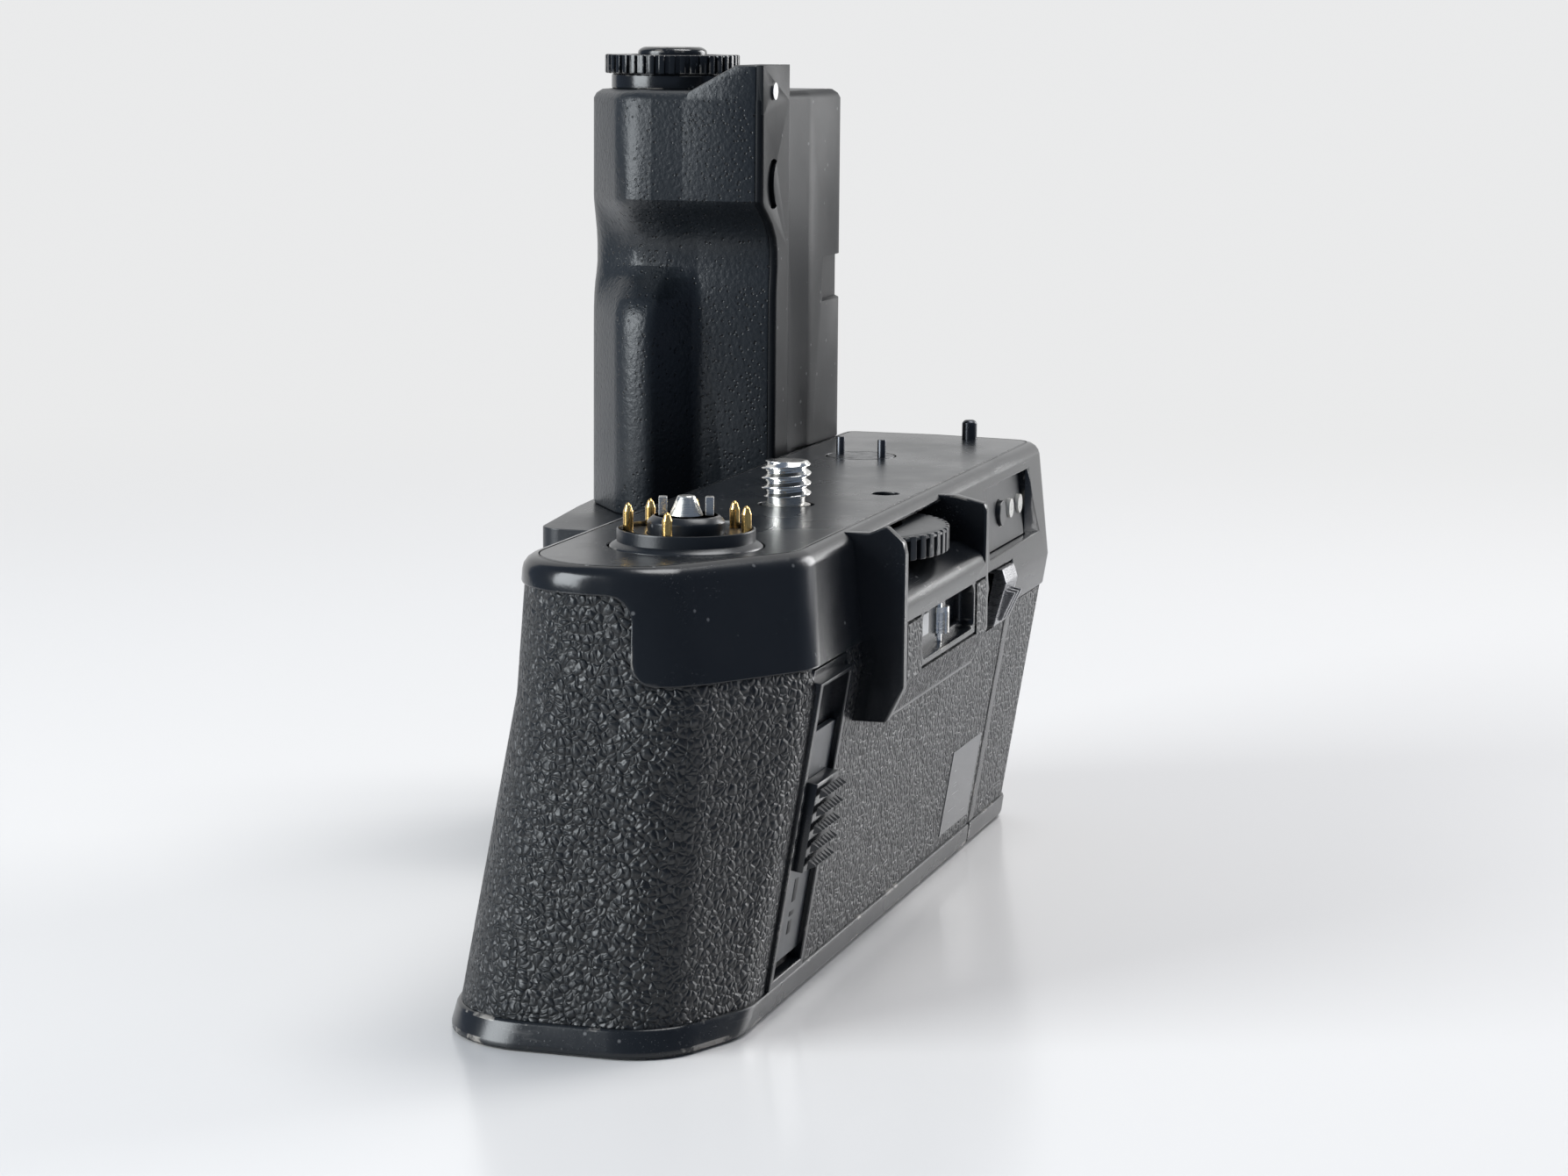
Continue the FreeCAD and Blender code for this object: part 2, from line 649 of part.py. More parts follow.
def upper_housing():
    housing = housing_form().common(trim_region())
    left, right = fins()
    housing = fuse(housing, panel_block(), left, right)
    floor_z = FAR_TRIM_Z + FAR_FLOOR_T
    hollow = skin(PANEL_LOW_Z - 2, SEAT_Z, HOUSING_WALL)
    hollow = hollow.cut(box(SEAM_NEAR, LENGTH + 20, -20, 80, 0, floor_z))
    housing = housing.cut(hollow).cut(skin(SEAT_Z, PLATE_TOP + 1, SEAT_INSET))
    wheel = box(PANEL_X0 + FIN_T, RIGHT_FIN_X, -20, 6, LEDGE_ROOT_Z, WHEEL_TOP_Z + 0.7)
    housing = housing.cut(wheel).cut(post(SCREW_X, WHEEL_Y, LEDGE_ROOT_Z, WHEEL_TOP_Z + 0.25, WHEEL_R + 0.5))
    housing = housing.cut(window_room()).cut(panel_leather_bed(5.0, 0.0))
    housing = housing.cut(lamp_recess(LAMP_PANEL, LAMP_DEPTH + LAMP_PLATE_T)).cut(lamp_flare())
    half = BRACKET_H / 2 + 0.1
    housing = housing.cut(box(BRACKET_X[0] - 0.1, BRACKET_X[1] + 0.1, -20, 5, LAMP_Z - half, LAMP_Z + half))
    housing = housing.cut(post(REWIND_X, REWIND_Y, floor_z, SEAT_Z, REWIND_R + 0.3))
    return housing.cut(lever_pocket()).cut(lever_slot()).cut(gear_slot())


def window_room():
    """Window recess in the raised panel, with room for the roller and its axle behind it."""
    x0, x1, z0, z1 = WINDOW
    corner = 1.2
    frame = [(x0, z0, corner), (x1, z0, corner), (x1, z1, corner), (x0, z1, corner)]
    room = plan(frame, 0, 20)
    room.rotate(V(), V(1, 0, 0), 90)
    room.translate(V(0, PANEL_Y + WINDOW_DEPTH, 0))
    deep = box(ROLLER_X + ROLLER_R + 2.0, x1 - 1.0, -20, PANEL_Y + WINDOW_DEPTH + 1.0, z0 + 1.0, z1 - 0.6)
    drum = post(ROLLER_X, roller_y(), ROLLER_Z - 0.1, ROLLER_Z + ROLLER_H + 0.1, ROLLER_R + 0.2)
    axle = post(ROLLER_X, roller_y(), z0 - 1.0, z1 + 1.0, AXLE_R + RUN_CLEAR)
    return room.multiFuse([deep, drum, axle])


def lever_pocket():
    """Recess in the back, round the release lever's tab."""
    high = LEVER_SLOT_Z + LEVER_NECK_T + 0.1
    return lamp_recess((POCKET_X0, LEVER_X1 + 0.5, POCKET_LOW_Z, high), POCKET_DEPTH)


def lever_slot():
    """Slot above the pocket that the lever's neck slides in."""
    return box(POCKET_X0, LEVER_X1 + 2.0, -20, 4, LEVER_SLOT_Z - 0.1, LEVER_SLOT_Z + LEVER_NECK_T + 0.1)


def lamp_recess(frame, depth):
    """Shallow recess in the back wall, following its slope."""
    x0, x1, z0, z1 = frame
    return box(x0, x1, -20, 20, z0, z1).cut(skin(z0 - 1, z1 + 1, depth))


def lamp_flare():
    """Slanting far side of the lamp recess, which opens outwards and downwards."""
    x0, x1, z0, z1 = LAMP_PANEL
    face = back_y(z0)
    rows = ((face + LAMP_DEPTH, 0.0, 0.0), (face - 2.0, 3.4, 10.0))
    wires = []
    for y, high, low in rows:
        corners = [V(x0 + 5, y, z0), V(x1 + low, y, z0), V(x1 + high, y, z1), V(x0 + 5, y, z1)]
        wires.append(Part.makePolygon(corners + [corners[0]]))
    return Part.makeLoft(wires, True, True)


def lamp_panel():
    x0, x1, z0, z1 = [a + b for a, b in zip(LAMP_PANEL, (0.15, -0.15, 0.15, -0.15))]
    plate = box(x0, x1, -20, 10, z0, z1).common(skin(z0 - 1, z1 + 1, LAMP_DEPTH))
    plate = plate.cut(skin(z0 - 1, z1 + 1, LAMP_DEPTH + LAMP_PLATE_T))
    plate = plate.cut(bar_y(CHECK_X, LAMP_Z, -20, 10, CHECK_R + 0.1))
    for x in LAMP_XS:
        plate = plate.cut(bar_y(x, LAMP_Z, -20, 10, LAMP_R))
    return plate


def lamps():
    face = back_y(LAMP_Z)
    face += LAMP_DEPTH - 0.4
    return Part.makeCompound([bar_y(x, LAMP_Z, face, face + LAMP_LEN, LAMP_R) for x in LAMP_XS])


def check_button():
    face = back_y(LAMP_Z) + LAMP_DEPTH
    stem = bar_y(CHECK_X, LAMP_Z, face - 0.6, face + 3.5, CHECK_R)
    flange = face + LAMP_PLATE_T + 0.35
    return fuse(stem, bar_y(CHECK_X, LAMP_Z, flange, flange + 0.6, CHECK_R + 0.3))


def lamp_bracket():
    """Block behind the panel that holds the lamps and guides the button."""
    face = back_y(LAMP_Z)
    back = face + BRACKET_DEPTH
    x0, x1 = BRACKET_X
    half = BRACKET_H / 2
    front = face + LAMP_DEPTH + LAMP_PLATE_T
    block = box(x0, x1, front + 0.4, back, LAMP_Z - half, LAMP_Z + half)
    wings = box(x0 - 1.5, x1 + 1.5, face + HOUSING_WALL + 0.35, back, LAMP_Z - half, LAMP_Z + half)
    block = fuse(block, wings)
    for x in LAMP_XS:
        block = block.cut(bar_y(x, LAMP_Z, face, face + LAMP_DEPTH - 0.4 + LAMP_LEN, LAMP_R))
    block = block.cut(bar_y(CHECK_X, LAMP_Z, face, front + 1.9, CHECK_R + 0.4))
    return block.cut(bar_y(CHECK_X, LAMP_Z, face, back + 1, CHECK_R + RUN_CLEAR))


def top_plate():
    plate = skin(SEAT_Z, PLATE_TOP, SEAT_INSET)
    plate = plate.cut(post(BOSS_X, BOSS_Y, SEAT_Z - 1, PLATE_TOP + 1, BOSS_FLANGE_R + 0.2))
    plate = plate.cut(post(SCREW_X, SCREW_Y, SEAT_Z - 1, PLATE_TOP + 1, SCREW_HOLE_R))
    plate = plate.cut(post(SIGHT_X, SIGHT_Y, SEAT_Z - 1, PLATE_TOP + 1, SIGHT_R))
    plate = plate.cut(post(WIND_X, WIND_Y, SEAT_Z - 1, PLATE_TOP + 1, WIND_R + 0.2))
    return plate.cut(post(REWIND_X, REWIND_Y, SEAT_Z - 1, PLATE_TOP + 1, REWIND_R + RUN_CLEAR))


def contact_base():
    low = SEAT_Z - 2.0
    flange = cone(BOSS_X, BOSS_Y, PLATE_TOP, PLATE_TOP + 0.6, BOSS_FLANGE_R, BOSS_RIM_R)
    stem = post(BOSS_X, BOSS_Y, low, PLATE_TOP, BOSS_FLANGE_R)
    rim = post(BOSS_X, BOSS_Y, PLATE_TOP, BOSS_RIM_Z, BOSS_RIM_R)
    foot = post(BOSS_X, BOSS_Y, low - 1.2, SEAT_Z, BOSS_FLANGE_R + 1.5)
    base = fuse(stem, flange, rim, foot)
    base = base.cut(post(BOSS_X, BOSS_Y, BOSS_FLOOR_Z, BOSS_RIM_Z + 1, BOSS_RIM_R - BOSS_RIM_T))
    base = base.cut(post(BOSS_X, BOSS_Y, low - 3, BOSS_RIM_Z, TURRET_R + RUN_CLEAR))
    for x, y in pin_places():
        base = base.cut(post(x, y, low - 3, BOSS_RIM_Z, PIN_R + RUN_CLEAR))
        base = base.cut(post(x, y, low - 3, low + 0.4, PIN_R + 0.55))
    return base


def pin_places():
    return [(BOSS_X + PIN_CIRCLE_R * math.cos(math.radians(a)),
             BOSS_Y + PIN_CIRCLE_R * math.sin(math.radians(a))) for a in PIN_ANGLES]


def contact_pin(x, y):
    """Bullet-nosed contact with a collar that stops it under the base."""
    shoulder = PIN_TOP_Z - 1.0
    collar_top = SEAT_Z - 1.6
    nose = cone(x, y, shoulder, PIN_TOP_Z - 0.25, PIN_R, PIN_R * 0.55)
    tip = cone(x, y, PIN_TOP_Z - 0.25, PIN_TOP_Z, PIN_R * 0.55, PIN_R * 0.15)
    stem = post(x, y, collar_top - 1.0, shoulder, PIN_R)
    collar = post(x, y, collar_top - 0.8, collar_top, PIN_R + 0.45)
    return fuse(stem, nose, tip, collar)


def contact_bridge():
    """Insulating plate under the contact base, where the pins' springs bear."""
    top = SEAT_Z - 2.0 - 1.2 - 2.6
    plate = post(BOSS_X, BOSS_Y, GEAR_PLATE_Z + GEAR_PLATE_T, top, BOSS_FLANGE_R + 1.0)
    return plate.cut(post(BOSS_X, BOSS_Y, GEAR_PLATE_Z, top + 1, TURRET_STEM_R + RUN_CLEAR))


def rewind_turret():
    low = SEAT_Z - 2.0
    top = cone(BOSS_X, BOSS_Y, TURRET_TOP_Z - 0.7, TURRET_TOP_Z, TURRET_R, TURRET_R - 0.7)
    body = post(BOSS_X, BOSS_Y, low - 1.2, TURRET_TOP_Z - 0.7, TURRET_R)
    stem = post(BOSS_X, BOSS_Y, GEAR_PLATE_Z + GEAR_PLATE_T + 0.2, low - 1.2, TURRET_STEM_R)
    return fuse(body, top, stem).cut(post(BOSS_X, BOSS_Y, TURRET_TOP_Z - 0.4, TURRET_TOP_Z + 1, FORK_R))


def rewind_fork():
    """Nickel disc with a driving cone and two prongs."""
    z = TURRET_TOP_Z
    disc = post(BOSS_X, BOSS_Y, z - 0.4, z, FORK_R)
    pieces = [disc, cone(BOSS_X, BOSS_Y, z, z + CONE_H, CONE_R, CONE_TOP_R)]
    for side in (-1, 1):
        prong = box(side * PRONG_OFFSET - PRONG_T / 2, side * PRONG_OFFSET + PRONG_T / 2,
                    -PRONG_W / 2, PRONG_W / 2, z - 0.2, z + PRONG_H)
        prong.rotate(V(), V(0, 0, 1), PRONG_ANGLE)
        prong.translate(V(BOSS_X, BOSS_Y, 0))
        pieces.append(prong)
    return fuse(*pieces)


def camera_screw():
    """Threaded end above the plate, a shank through it and a journal in the gear plate."""
    thread = post(SCREW_X, SCREW_Y, THREAD_LOW_Z, SCREW_TOP_Z - 0.5, THREAD_R)
    nose = cone(SCREW_X, SCREW_Y, SCREW_TOP_Z - 0.5, SCREW_TOP_Z, THREAD_R, THREAD_R - 0.5)
    journal = post(SCREW_X, SCREW_Y, GEAR_PLATE_Z, THREAD_LOW_Z, SHANK_R)
    return fuse(journal, thread, nose)


def screw_gear():
    gear = toothed(SCREW_TEETH, SCREW_MODULE, SCREW_X, SCREW_Y, WHEEL_LOW_Z + 0.2, WHEEL_TOP_Z,
                   math.pi / 2, 0.7, 0.95, 0.44)
    return gear.cut(post(SCREW_X, SCREW_Y, WHEEL_LOW_Z - 1, WHEEL_TOP_Z + 1, SHANK_R))


def thumbwheel():
    """Knurled ring with inner teeth; it turns the screw gear, which sits off its centre."""
    ring = ribbed(WHEEL_RIBS, SCREW_X, WHEEL_Y, WHEEL_LOW_Z, WHEEL_TOP_Z, WHEEL_R, WHEEL_RIB_H, 0.58)
    inner = toothed(WHEEL_TEETH, SCREW_MODULE, SCREW_X, WHEEL_Y, WHEEL_LOW_Z - 1, WHEEL_TOP_Z + 1,
                    math.pi / 2, 1.0, 0.65, 0.58)
    groove = tube(SCREW_X, WHEEL_Y, WHEEL_LOW_Z - 1, WHEEL_LOW_Z + GUIDE_H + 0.2,
                  GUIDE_R + GUIDE_W / 2 + RUN_CLEAR, GUIDE_R - GUIDE_W / 2 - RUN_CLEAR)
    return ring.cut(inner).cut(groove)


def wheel_carrier():
    """Boss on the gear plate that the thumbwheel turns on."""
    low = GEAR_PLATE_Z + GEAR_PLATE_T
    boss = post(SCREW_X, WHEEL_Y, low, WHEEL_LOW_Z - 0.1, GUIDE_R + GUIDE_W / 2)
    rib = tube(SCREW_X, WHEEL_Y, WHEEL_LOW_Z - 0.2, WHEEL_LOW_Z + GUIDE_H,
               GUIDE_R + GUIDE_W / 2, GUIDE_R - GUIDE_W / 2)
    boss = boss.cut(post(SCREW_X, WHEEL_Y, WHEEL_LOW_Z - 1.4, WHEEL_LOW_Z + 1, GUIDE_R - GUIDE_W / 2 - 1.0))
    boss = fuse(boss, rib)
    boss = boss.cut(post(SCREW_X, SCREW_Y, low - 1, WHEEL_LOW_Z, SHANK_R + RUN_CLEAR))
    return boss.common(skin(GEAR_PLATE_Z, PLATE_TOP, HOUSING_WALL + 0.2))


def gear_plate():
    plate = skin(GEAR_PLATE_Z, GEAR_PLATE_Z + GEAR_PLATE_T, INNER_INSET)
    plate = plate.cut(post(SCREW_X, SCREW_Y, GEAR_PLATE_Z - 1, GEAR_PLATE_Z + 3, SHANK_R + RUN_CLEAR))
    plate = plate.cut(post(WIND_X, WIND_Y, GEAR_PLATE_Z - 1, GEAR_PLATE_Z + 3, WIND_SHAFT_R + RUN_CLEAR))
    plate = plate.cut(post(REWIND_X, REWIND_Y, GEAR_PLATE_Z - 1, GEAR_PLATE_Z + 3, REWIND_R + RUN_CLEAR))
    room = box(BRACKET_X[0] - 1.7, BRACKET_X[1] + 1.7, -5, back_y(LAMP_Z) + BRACKET_DEPTH + 1.1,
               GEAR_PLATE_Z - 1, GEAR_PLATE_Z + 3)
    plate = plate.cut(room)
    for x, y in board_posts():
        plate = plate.fuse(post(x, y, BOARD_Z + BOARD_T, GEAR_PLATE_Z, 1.8))
    return plate


def board_posts():
    return [(x, y) for x in (BOARD_X0 + 4, BOARD_X1 - 4) for y in (BOARD_Y0 + 3, BOARD_Y1 - 3)]


def circuit_board():
    return box(BOARD_X0, BOARD_X1, BOARD_Y0, BOARD_Y1, BOARD_Z, BOARD_Z + BOARD_T)


def board_parts():
    """Relay, capacitors and driver chips on the board."""
    top = BOARD_Z + BOARD_T
    x, y = BOARD_X0, BOARD_Y0
    chips = [box(x + 18, x + 28, y + 5, y + 11, top, top + 2.2),
             box(x + 36, x + 44, y + 3, y + 9, top, top + 1.6),
             box(BOARD_X1 - 22, BOARD_X1 - 8, y + 12, y + 18, top, top + 3.4)]
    cans = [post(x + 16 + 7 * i, y + 16, top, top + 3.2, 2.4) for i in range(3)]
    return Part.makeCompound(chips + cans)


def wind_coupler():
    """Disc in the plate with two driving posts, its shaft and its gear."""
    disc = post(WIND_X, WIND_Y, SEAT_Z + 0.4, PLATE_TOP, WIND_R)
    shaft = post(WIND_X, WIND_Y, GEAR_PLATE_Z, SEAT_Z + 0.4, WIND_SHAFT_R)
    pieces = [disc, shaft]
    for turn in (0, 180):
        a = math.radians(POST_ANGLE + turn)
        pieces.append(post(WIND_X + POST_OFFSET * math.cos(a), WIND_Y + POST_OFFSET * math.sin(a),
                           PLATE_TOP - 0.5, PLATE_TOP + POST_H, POST_R))
    return fuse(*pieces)


def wind_gear():
    toward = math.atan2(IDLER_Y - WIND_Y, IDLER_X - WIND_X)
    gear = toothed(WIND_TEETH, GEAR_MODULE, WIND_X, WIND_Y, GEAR_LOW_Z, GEAR_TOP_Z, toward)
    return gear.cut(post(WIND_X, WIND_Y, GEAR_LOW_Z - 1, GEAR_TOP_Z + 1, WIND_SHAFT_R))


def idler_gear():
    """A gap faces the winding gear's tooth; the pinion is turned to suit the idler."""
    back = math.atan2(WIND_Y - IDLER_Y, WIND_X - IDLER_X)
    gear = toothed(IDLER_TEETH, GEAR_MODULE, IDLER_X, IDLER_Y, GEAR_LOW_Z, GEAR_TOP_Z,
                   back + math.pi / IDLER_TEETH)
    return gear.cut(post(IDLER_X, IDLER_Y, GEAR_LOW_Z - 1, GEAR_TOP_Z + 1, IDLER_POST_R + RUN_CLEAR))


def motor_pinion():
    back = math.atan2(WIND_Y - IDLER_Y, WIND_X - IDLER_X)
    toward = math.atan2(MOTOR_Y - IDLER_Y, MOTOR_X - IDLER_X)
    step = 2 * math.pi / IDLER_TEETH
    lead = ((toward - back - step / 2) / step) % 1.0
    phase = toward + math.pi + (0.5 + lead) * 2 * math.pi / PINION_TEETH
    gear = toothed(PINION_TEETH, GEAR_MODULE, MOTOR_X, MOTOR_Y, GEAR_LOW_Z, GEAR_TOP_Z, phase)
    collar = post(MOTOR_X, MOTOR_Y, GEAR_TOP_Z, GEAR_TOP_Z + 1.0, 2.4)
    return fuse(gear, collar).cut(post(MOTOR_X, MOTOR_Y, GEAR_LOW_Z - 1, MOTOR_LOW_Z, MOTOR_SHAFT_R))


def motor_shaft():
    return post(MOTOR_X, MOTOR_Y, GEAR_LOW_Z, MOTOR_LOW_Z + MOTOR_SHAFT_IN, MOTOR_SHAFT_R)


def motor_can():
    can = post(MOTOR_X, MOTOR_Y, MOTOR_LOW_Z, MOTOR_LOW_Z + MOTOR_H, MOTOR_R)
    boss = post(MOTOR_X, MOTOR_Y, MOTOR_LOW_Z - 1.5, MOTOR_LOW_Z, MOTOR_BOSS_R)
    can = fuse(can, boss)
    return can.cut(post(MOTOR_X, MOTOR_Y, MOTOR_LOW_Z - 2, MOTOR_LOW_Z + MOTOR_SHAFT_IN + 1,
                        MOTOR_SHAFT_R + RUN_CLEAR))


def motor_mount():
    """Plate across the grip's foot that the motor is screwed to."""
    plate = plan(GRIP_HOLLOW, MOTOR_LOW_Z - 1.5, MOTOR_LOW_Z)
    return plate.cut(post(MOTOR_X, MOTOR_Y, MOTOR_LOW_Z - 2, MOTOR_LOW_Z + 1, MOTOR_BOSS_R))


def rewind_pin():
    """Pin through the plate, with an arm at its foot that the lever's ramp lifts."""
    stem = post(REWIND_X, REWIND_Y, REWIND_FOOT_Z, REWIND_TOP_Z - 0.4, REWIND_R)
    nose = cone(REWIND_X, REWIND_Y, REWIND_TOP_Z - 0.4, REWIND_TOP_Z, REWIND_R, REWIND_R - 0.4)
    arm = box(ARM_X, REWIND_X, REWIND_Y - REWIND_R, REWIND_Y + REWIND_R, REWIND_FOOT_Z, REWIND_FOOT_Z + ARM_T)
    return fuse(stem, nose, arm)


def rewind_lever():
    """Thumb tab in the pocket, a neck through the slot and a bar whose ramp holds the pin up."""
    x0 = LEVER_X1 - LEVER_W
    top = LEVER_SLOT_Z + LEVER_NECK_T
    high = back_y(LEVER_BAR_Z)
    low = back_y(POCKET_LOW_Z)
    base = POCKET_DEPTH - 0.15
    tab = prism_yz([(high + base - 0.4, top), (high - 0.5, top), (high - 1.1, LEVER_BAR_Z),
                    (low - 0.5, POCKET_LOW_Z + 0.6), (low + base - 0.1, POCKET_LOW_Z + 0.6)], x0, LEVER_X1)
    for i in range(3):
        x = LEVER_X1 - 2.0 * i
        ridge = prism_yz([(low, POCKET_LOW_Z + 0.9), (low - 1.1, POCKET_LOW_Z + 1.2),
                          (high - 1.8, LEVER_BAR_Z - 1.6), (high, LEVER_BAR_Z - 1.3)], x - 0.8, x)
        tab = tab.fuse(ridge)
    neck = box(x0, x0 + 3.0, high - 0.4, REWIND_Y - 3.0, LEVER_SLOT_Z, top)
    bar = box(x0, ARM_X - 0.5, REWIND_Y - 3.0, REWIND_Y + 2.0, LEVER_BAR_Z, top)
    rise = PIN_LIFT / LEVER_TRAVEL
    level = REWIND_FOOT_Z - RUN_CLEAR
    ramp = prism_xz([(ARM_X - 1.5, LEVER_BAR_Z), (ARM_X + LEVER_TRAVEL + 0.5, LEVER_BAR_Z),
                     (ARM_X + LEVER_TRAVEL + 0.5, level - PIN_LIFT - 0.5 * rise), (ARM_X, level),
                     (ARM_X - 1.5, level)], REWIND_Y - 2.0, REWIND_Y + 2.0)
    return fuse(tab, neck, bar, ramp)


def slider_guide():
    """Channel with side rails, let into the sloping back."""
    v1 = SLIDE_LEN + 2.0
    base = on_slope(SLIDE_X0, SLIDE_X1, 0.0, v1, -2.2, 0.15)
    track = on_slope(SLIDE_X0 + SLIDE_RAIL, SLIDE_X1 - SLIDE_RAIL, SLIDE_RAIL, SLIDE_LEN, -1.5, 1.0)
    ledge = on_slope(SLIDE_X0 - 1, SLIDE_X1 + 1, SLIDE_LEN + 0.6, v1 + 1, -0.9, 1.0)
    return base.cut(track).cut(ledge).common(box(0, 60, -20, 20, RIM_H, TRIM_BACK_Z))


def rewind_slider():
    edge = SLIDE_RAIL + SLIDE_GAP
    return on_slope(SLIDE_X0 + edge, SLIDE_X1 - edge, 2.6, THUMB_HIGH + 5.8, -1.4, -0.6)


def slider_thumb():
    """Serrated thumb block: a row of sloping teeth across the slider."""
    step = (THUMB_HIGH - THUMB_LOW) / THUMB_ROWS
    profile = [(THUMB_LOW, -0.6)]
    for i in range(THUMB_ROWS):
        v = THUMB_LOW + i * step
        profile += [(v, 1.1), (v + step * 0.35, 2.0), (v + step * 0.85, 1.1)]
    profile += [(THUMB_HIGH, 1.1), (THUMB_HIGH, -0.6)]
    return slope_prism(profile, SLIDE_X0 + 2.4, SLIDE_X1 - 2.4)


def counter_window():
    x0, x1, z0, z1 = WINDOW
    floor = PANEL_Y + WINDOW_DEPTH
    return box(x0 + 0.8, x0 + 5.6, floor - 0.9, floor, z0 + 2.4, z1 - 0.5)


def roller_y():
    return PANEL_Y + WINDOW_DEPTH + 0.2


def counter_roller():
    """Upright ridged roller with a flange above, on an axle between the window's edges."""
    y = roller_y()
    x0, x1, z0, z1 = WINDOW
    drum = ribbed(ROLLER_RIBS, ROLLER_X, y, ROLLER_Z, ROLLER_Z + ROLLER_H, ROLLER_R, 0.3, 0.5)
    flange = post(ROLLER_X, y, ROLLER_Z + ROLLER_H - 0.7, ROLLER_Z + ROLLER_H, ROLLER_R)
    return fuse(drum, flange, post(ROLLER_X, y, z0 - 1.0, z1 + 1.0, AXLE_R))


def leather_panel():
    return panel_leather_bed(0.15, 0.1)


def battery_tray():
    """End walls and a four-pointed core that the cells lie against."""
    x1 = SEAM_FAR + 0.1 + TRAY_END_T
    form = skin(TRAY_LOW_Z, TRAY_HIGH_Z, INNER_INSET + TRAY_CLEAR)
    near = form.common(box(CELL_X - TONGUE_L - TRAY_END_T, CELL_X - TONGUE_L, -20, 60, 0, 60))
    far = form.common(box(x1 - TRAY_END_T, x1, -20, 60, 0, CAP_TOP_Z - CAP_WALL - 0.1))
    lean = (row_y(HIGH_ROW_Z) - row_y(LOW_ROW_Z)) / 2
    mid_z = (LOW_ROW_Z + HIGH_ROW_Z) / 2
    mid_y = row_y(mid_z)
    half = 4.6
    core = prism_yz([(mid_y - half - lean * 0.6, mid_z - half), (mid_y + half - lean * 0.6, mid_z - half),
                     (mid_y + half + lean * 0.6, mid_z + half), (mid_y - half + lean * 0.6, mid_z + half)],
                    CELL_X - TONGUE_L - 0.1, x1 - 0.5)
    for y, z in cell_rows():
        core = core.cut(bar_x(y, z, CELL_X - TONGUE_L, x1 - TRAY_END_T, CELL_R + 0.1))
    return fuse(near, far, core)


def row_y(z):
    """Middle of the chamber at a height."""
    row = section(z)
    return (row[1] + row[2]) / 2


def cell_rows():
    return [(row_y(z) + side * CELL_PITCH / 2, z) for z in (LOW_ROW_Z, HIGH_ROW_Z) for side in (-1, 1)]


def battery_cells():
    cells = []
    for y, z in cell_rows():
        for i in range(2):
            x = CELL_X + i * CELL_LEN
            can = bar_x(y, z, x, x + CELL_LEN - CELL_NUB_H, CELL_R)
            cells.append(can.fuse(bar_x(y, z, x + CELL_LEN - CELL_NUB_H, x + CELL_LEN, CELL_NUB_R)))
    return Part.makeCompound(cells)


def battery_contacts():
    """Spring tongues at the near end and plates at the far end of each row."""
    pieces = []
    for y, z in cell_rows():
        near = CELL_X - TONGUE_L
        pieces.append(prism([V(near, y - 3, z - 3), V(CELL_X, y - 3, z), V(near, y - 3, z + 3)], V(),
                            V(0, 6, 0)))
        far = CELL_X + 2 * CELL_LEN
        pieces.append(box(far, SEAM_FAR + 0.1, y - 3.5, y + 3.5, z - 3.5, z + 3.5))
    return Part.makeCompound(pieces)


def battery_cap():
    """End of the battery holder: it closes the body and carries a strip, leather and base trim."""
    keep = box(SEAM_FAR, LENGTH + 20, -20, 80, -1, CAP_TOP_Z)
    core = skin(1, CAP_TOP_Z, SHELL_INSET).common(keep)
    strip = skin(1, CAP_TOP_Z, TRIM_PROUD - 0.1).common(box(SEAM_FAR, SEAM_FAR + CAP_STRIP_W, -20,
                                                            FRONT_Y - 1.6, 0, CAP_TOP_Z))
    base = base_rim().common(keep)
    hollow = skin(FLOOR_T, CAP_TOP_Z - CAP_WALL, SHELL_INSET + CAP_WALL)
    hollow = hollow.common(box(SEAM_NEAR - 1, LENGTH - CAP_WALL - SHELL_INSET, -20, 80, 0, 60))
    cap = fuse(core, strip, base).cut(hollow)
    x0 = SEAM_FAR + 0.1 + TRAY_END_T
    inside = skin(FLOOR_T, CAP_TOP_Z, SHELL_INSET + CAP_WALL / 2)
    for y in (row_y(LOW_ROW_Z) - 8, row_y(LOW_ROW_Z) + 8):
        cap = cap.fuse(box(x0, LENGTH, y - 2, y + 2, LOW_ROW_Z + 1.2, HIGH_ROW_Z - 1.5).common(inside))
    return cap


def cap_leather():
    layer = leather_layer(CAP_TOP_Z)
    return layer.common(box(SEAM_FAR + CAP_STRIP_W, LENGTH + 20, -20, FRONT_Y - 1.6, RIM_H, CAP_TOP_Z))


def grip_corners(pillar, waist):
    """Outline of the grip: the pillar in front and the waist beside it stand back from the near face."""
    x, y = GRIP_FACE_X, FRONT_Y
    return (
        (x + waist, STRIP_Y, 0.8),
        (STRIP_X, STRIP_Y, 1.0),
        (STRIP_X + 6.0, y - 1.3, 7.0),
        (LENGTH - 8.0, y - 1.7, 8.0),
        (LENGTH, y + 1.9, 5.0),
        (LENGTH, y + 21.4, 12.0),
        (LENGTH - 12.0, y + 31.2, 12.0),
        (LENGTH - 29.0, y + 29.6, 9.0),
        (x + pillar, y + 21.0, 6.0),
        (x + pillar, y + 16.4, 2.0),
        (x + waist, y + 12.0, 2.0),
    )


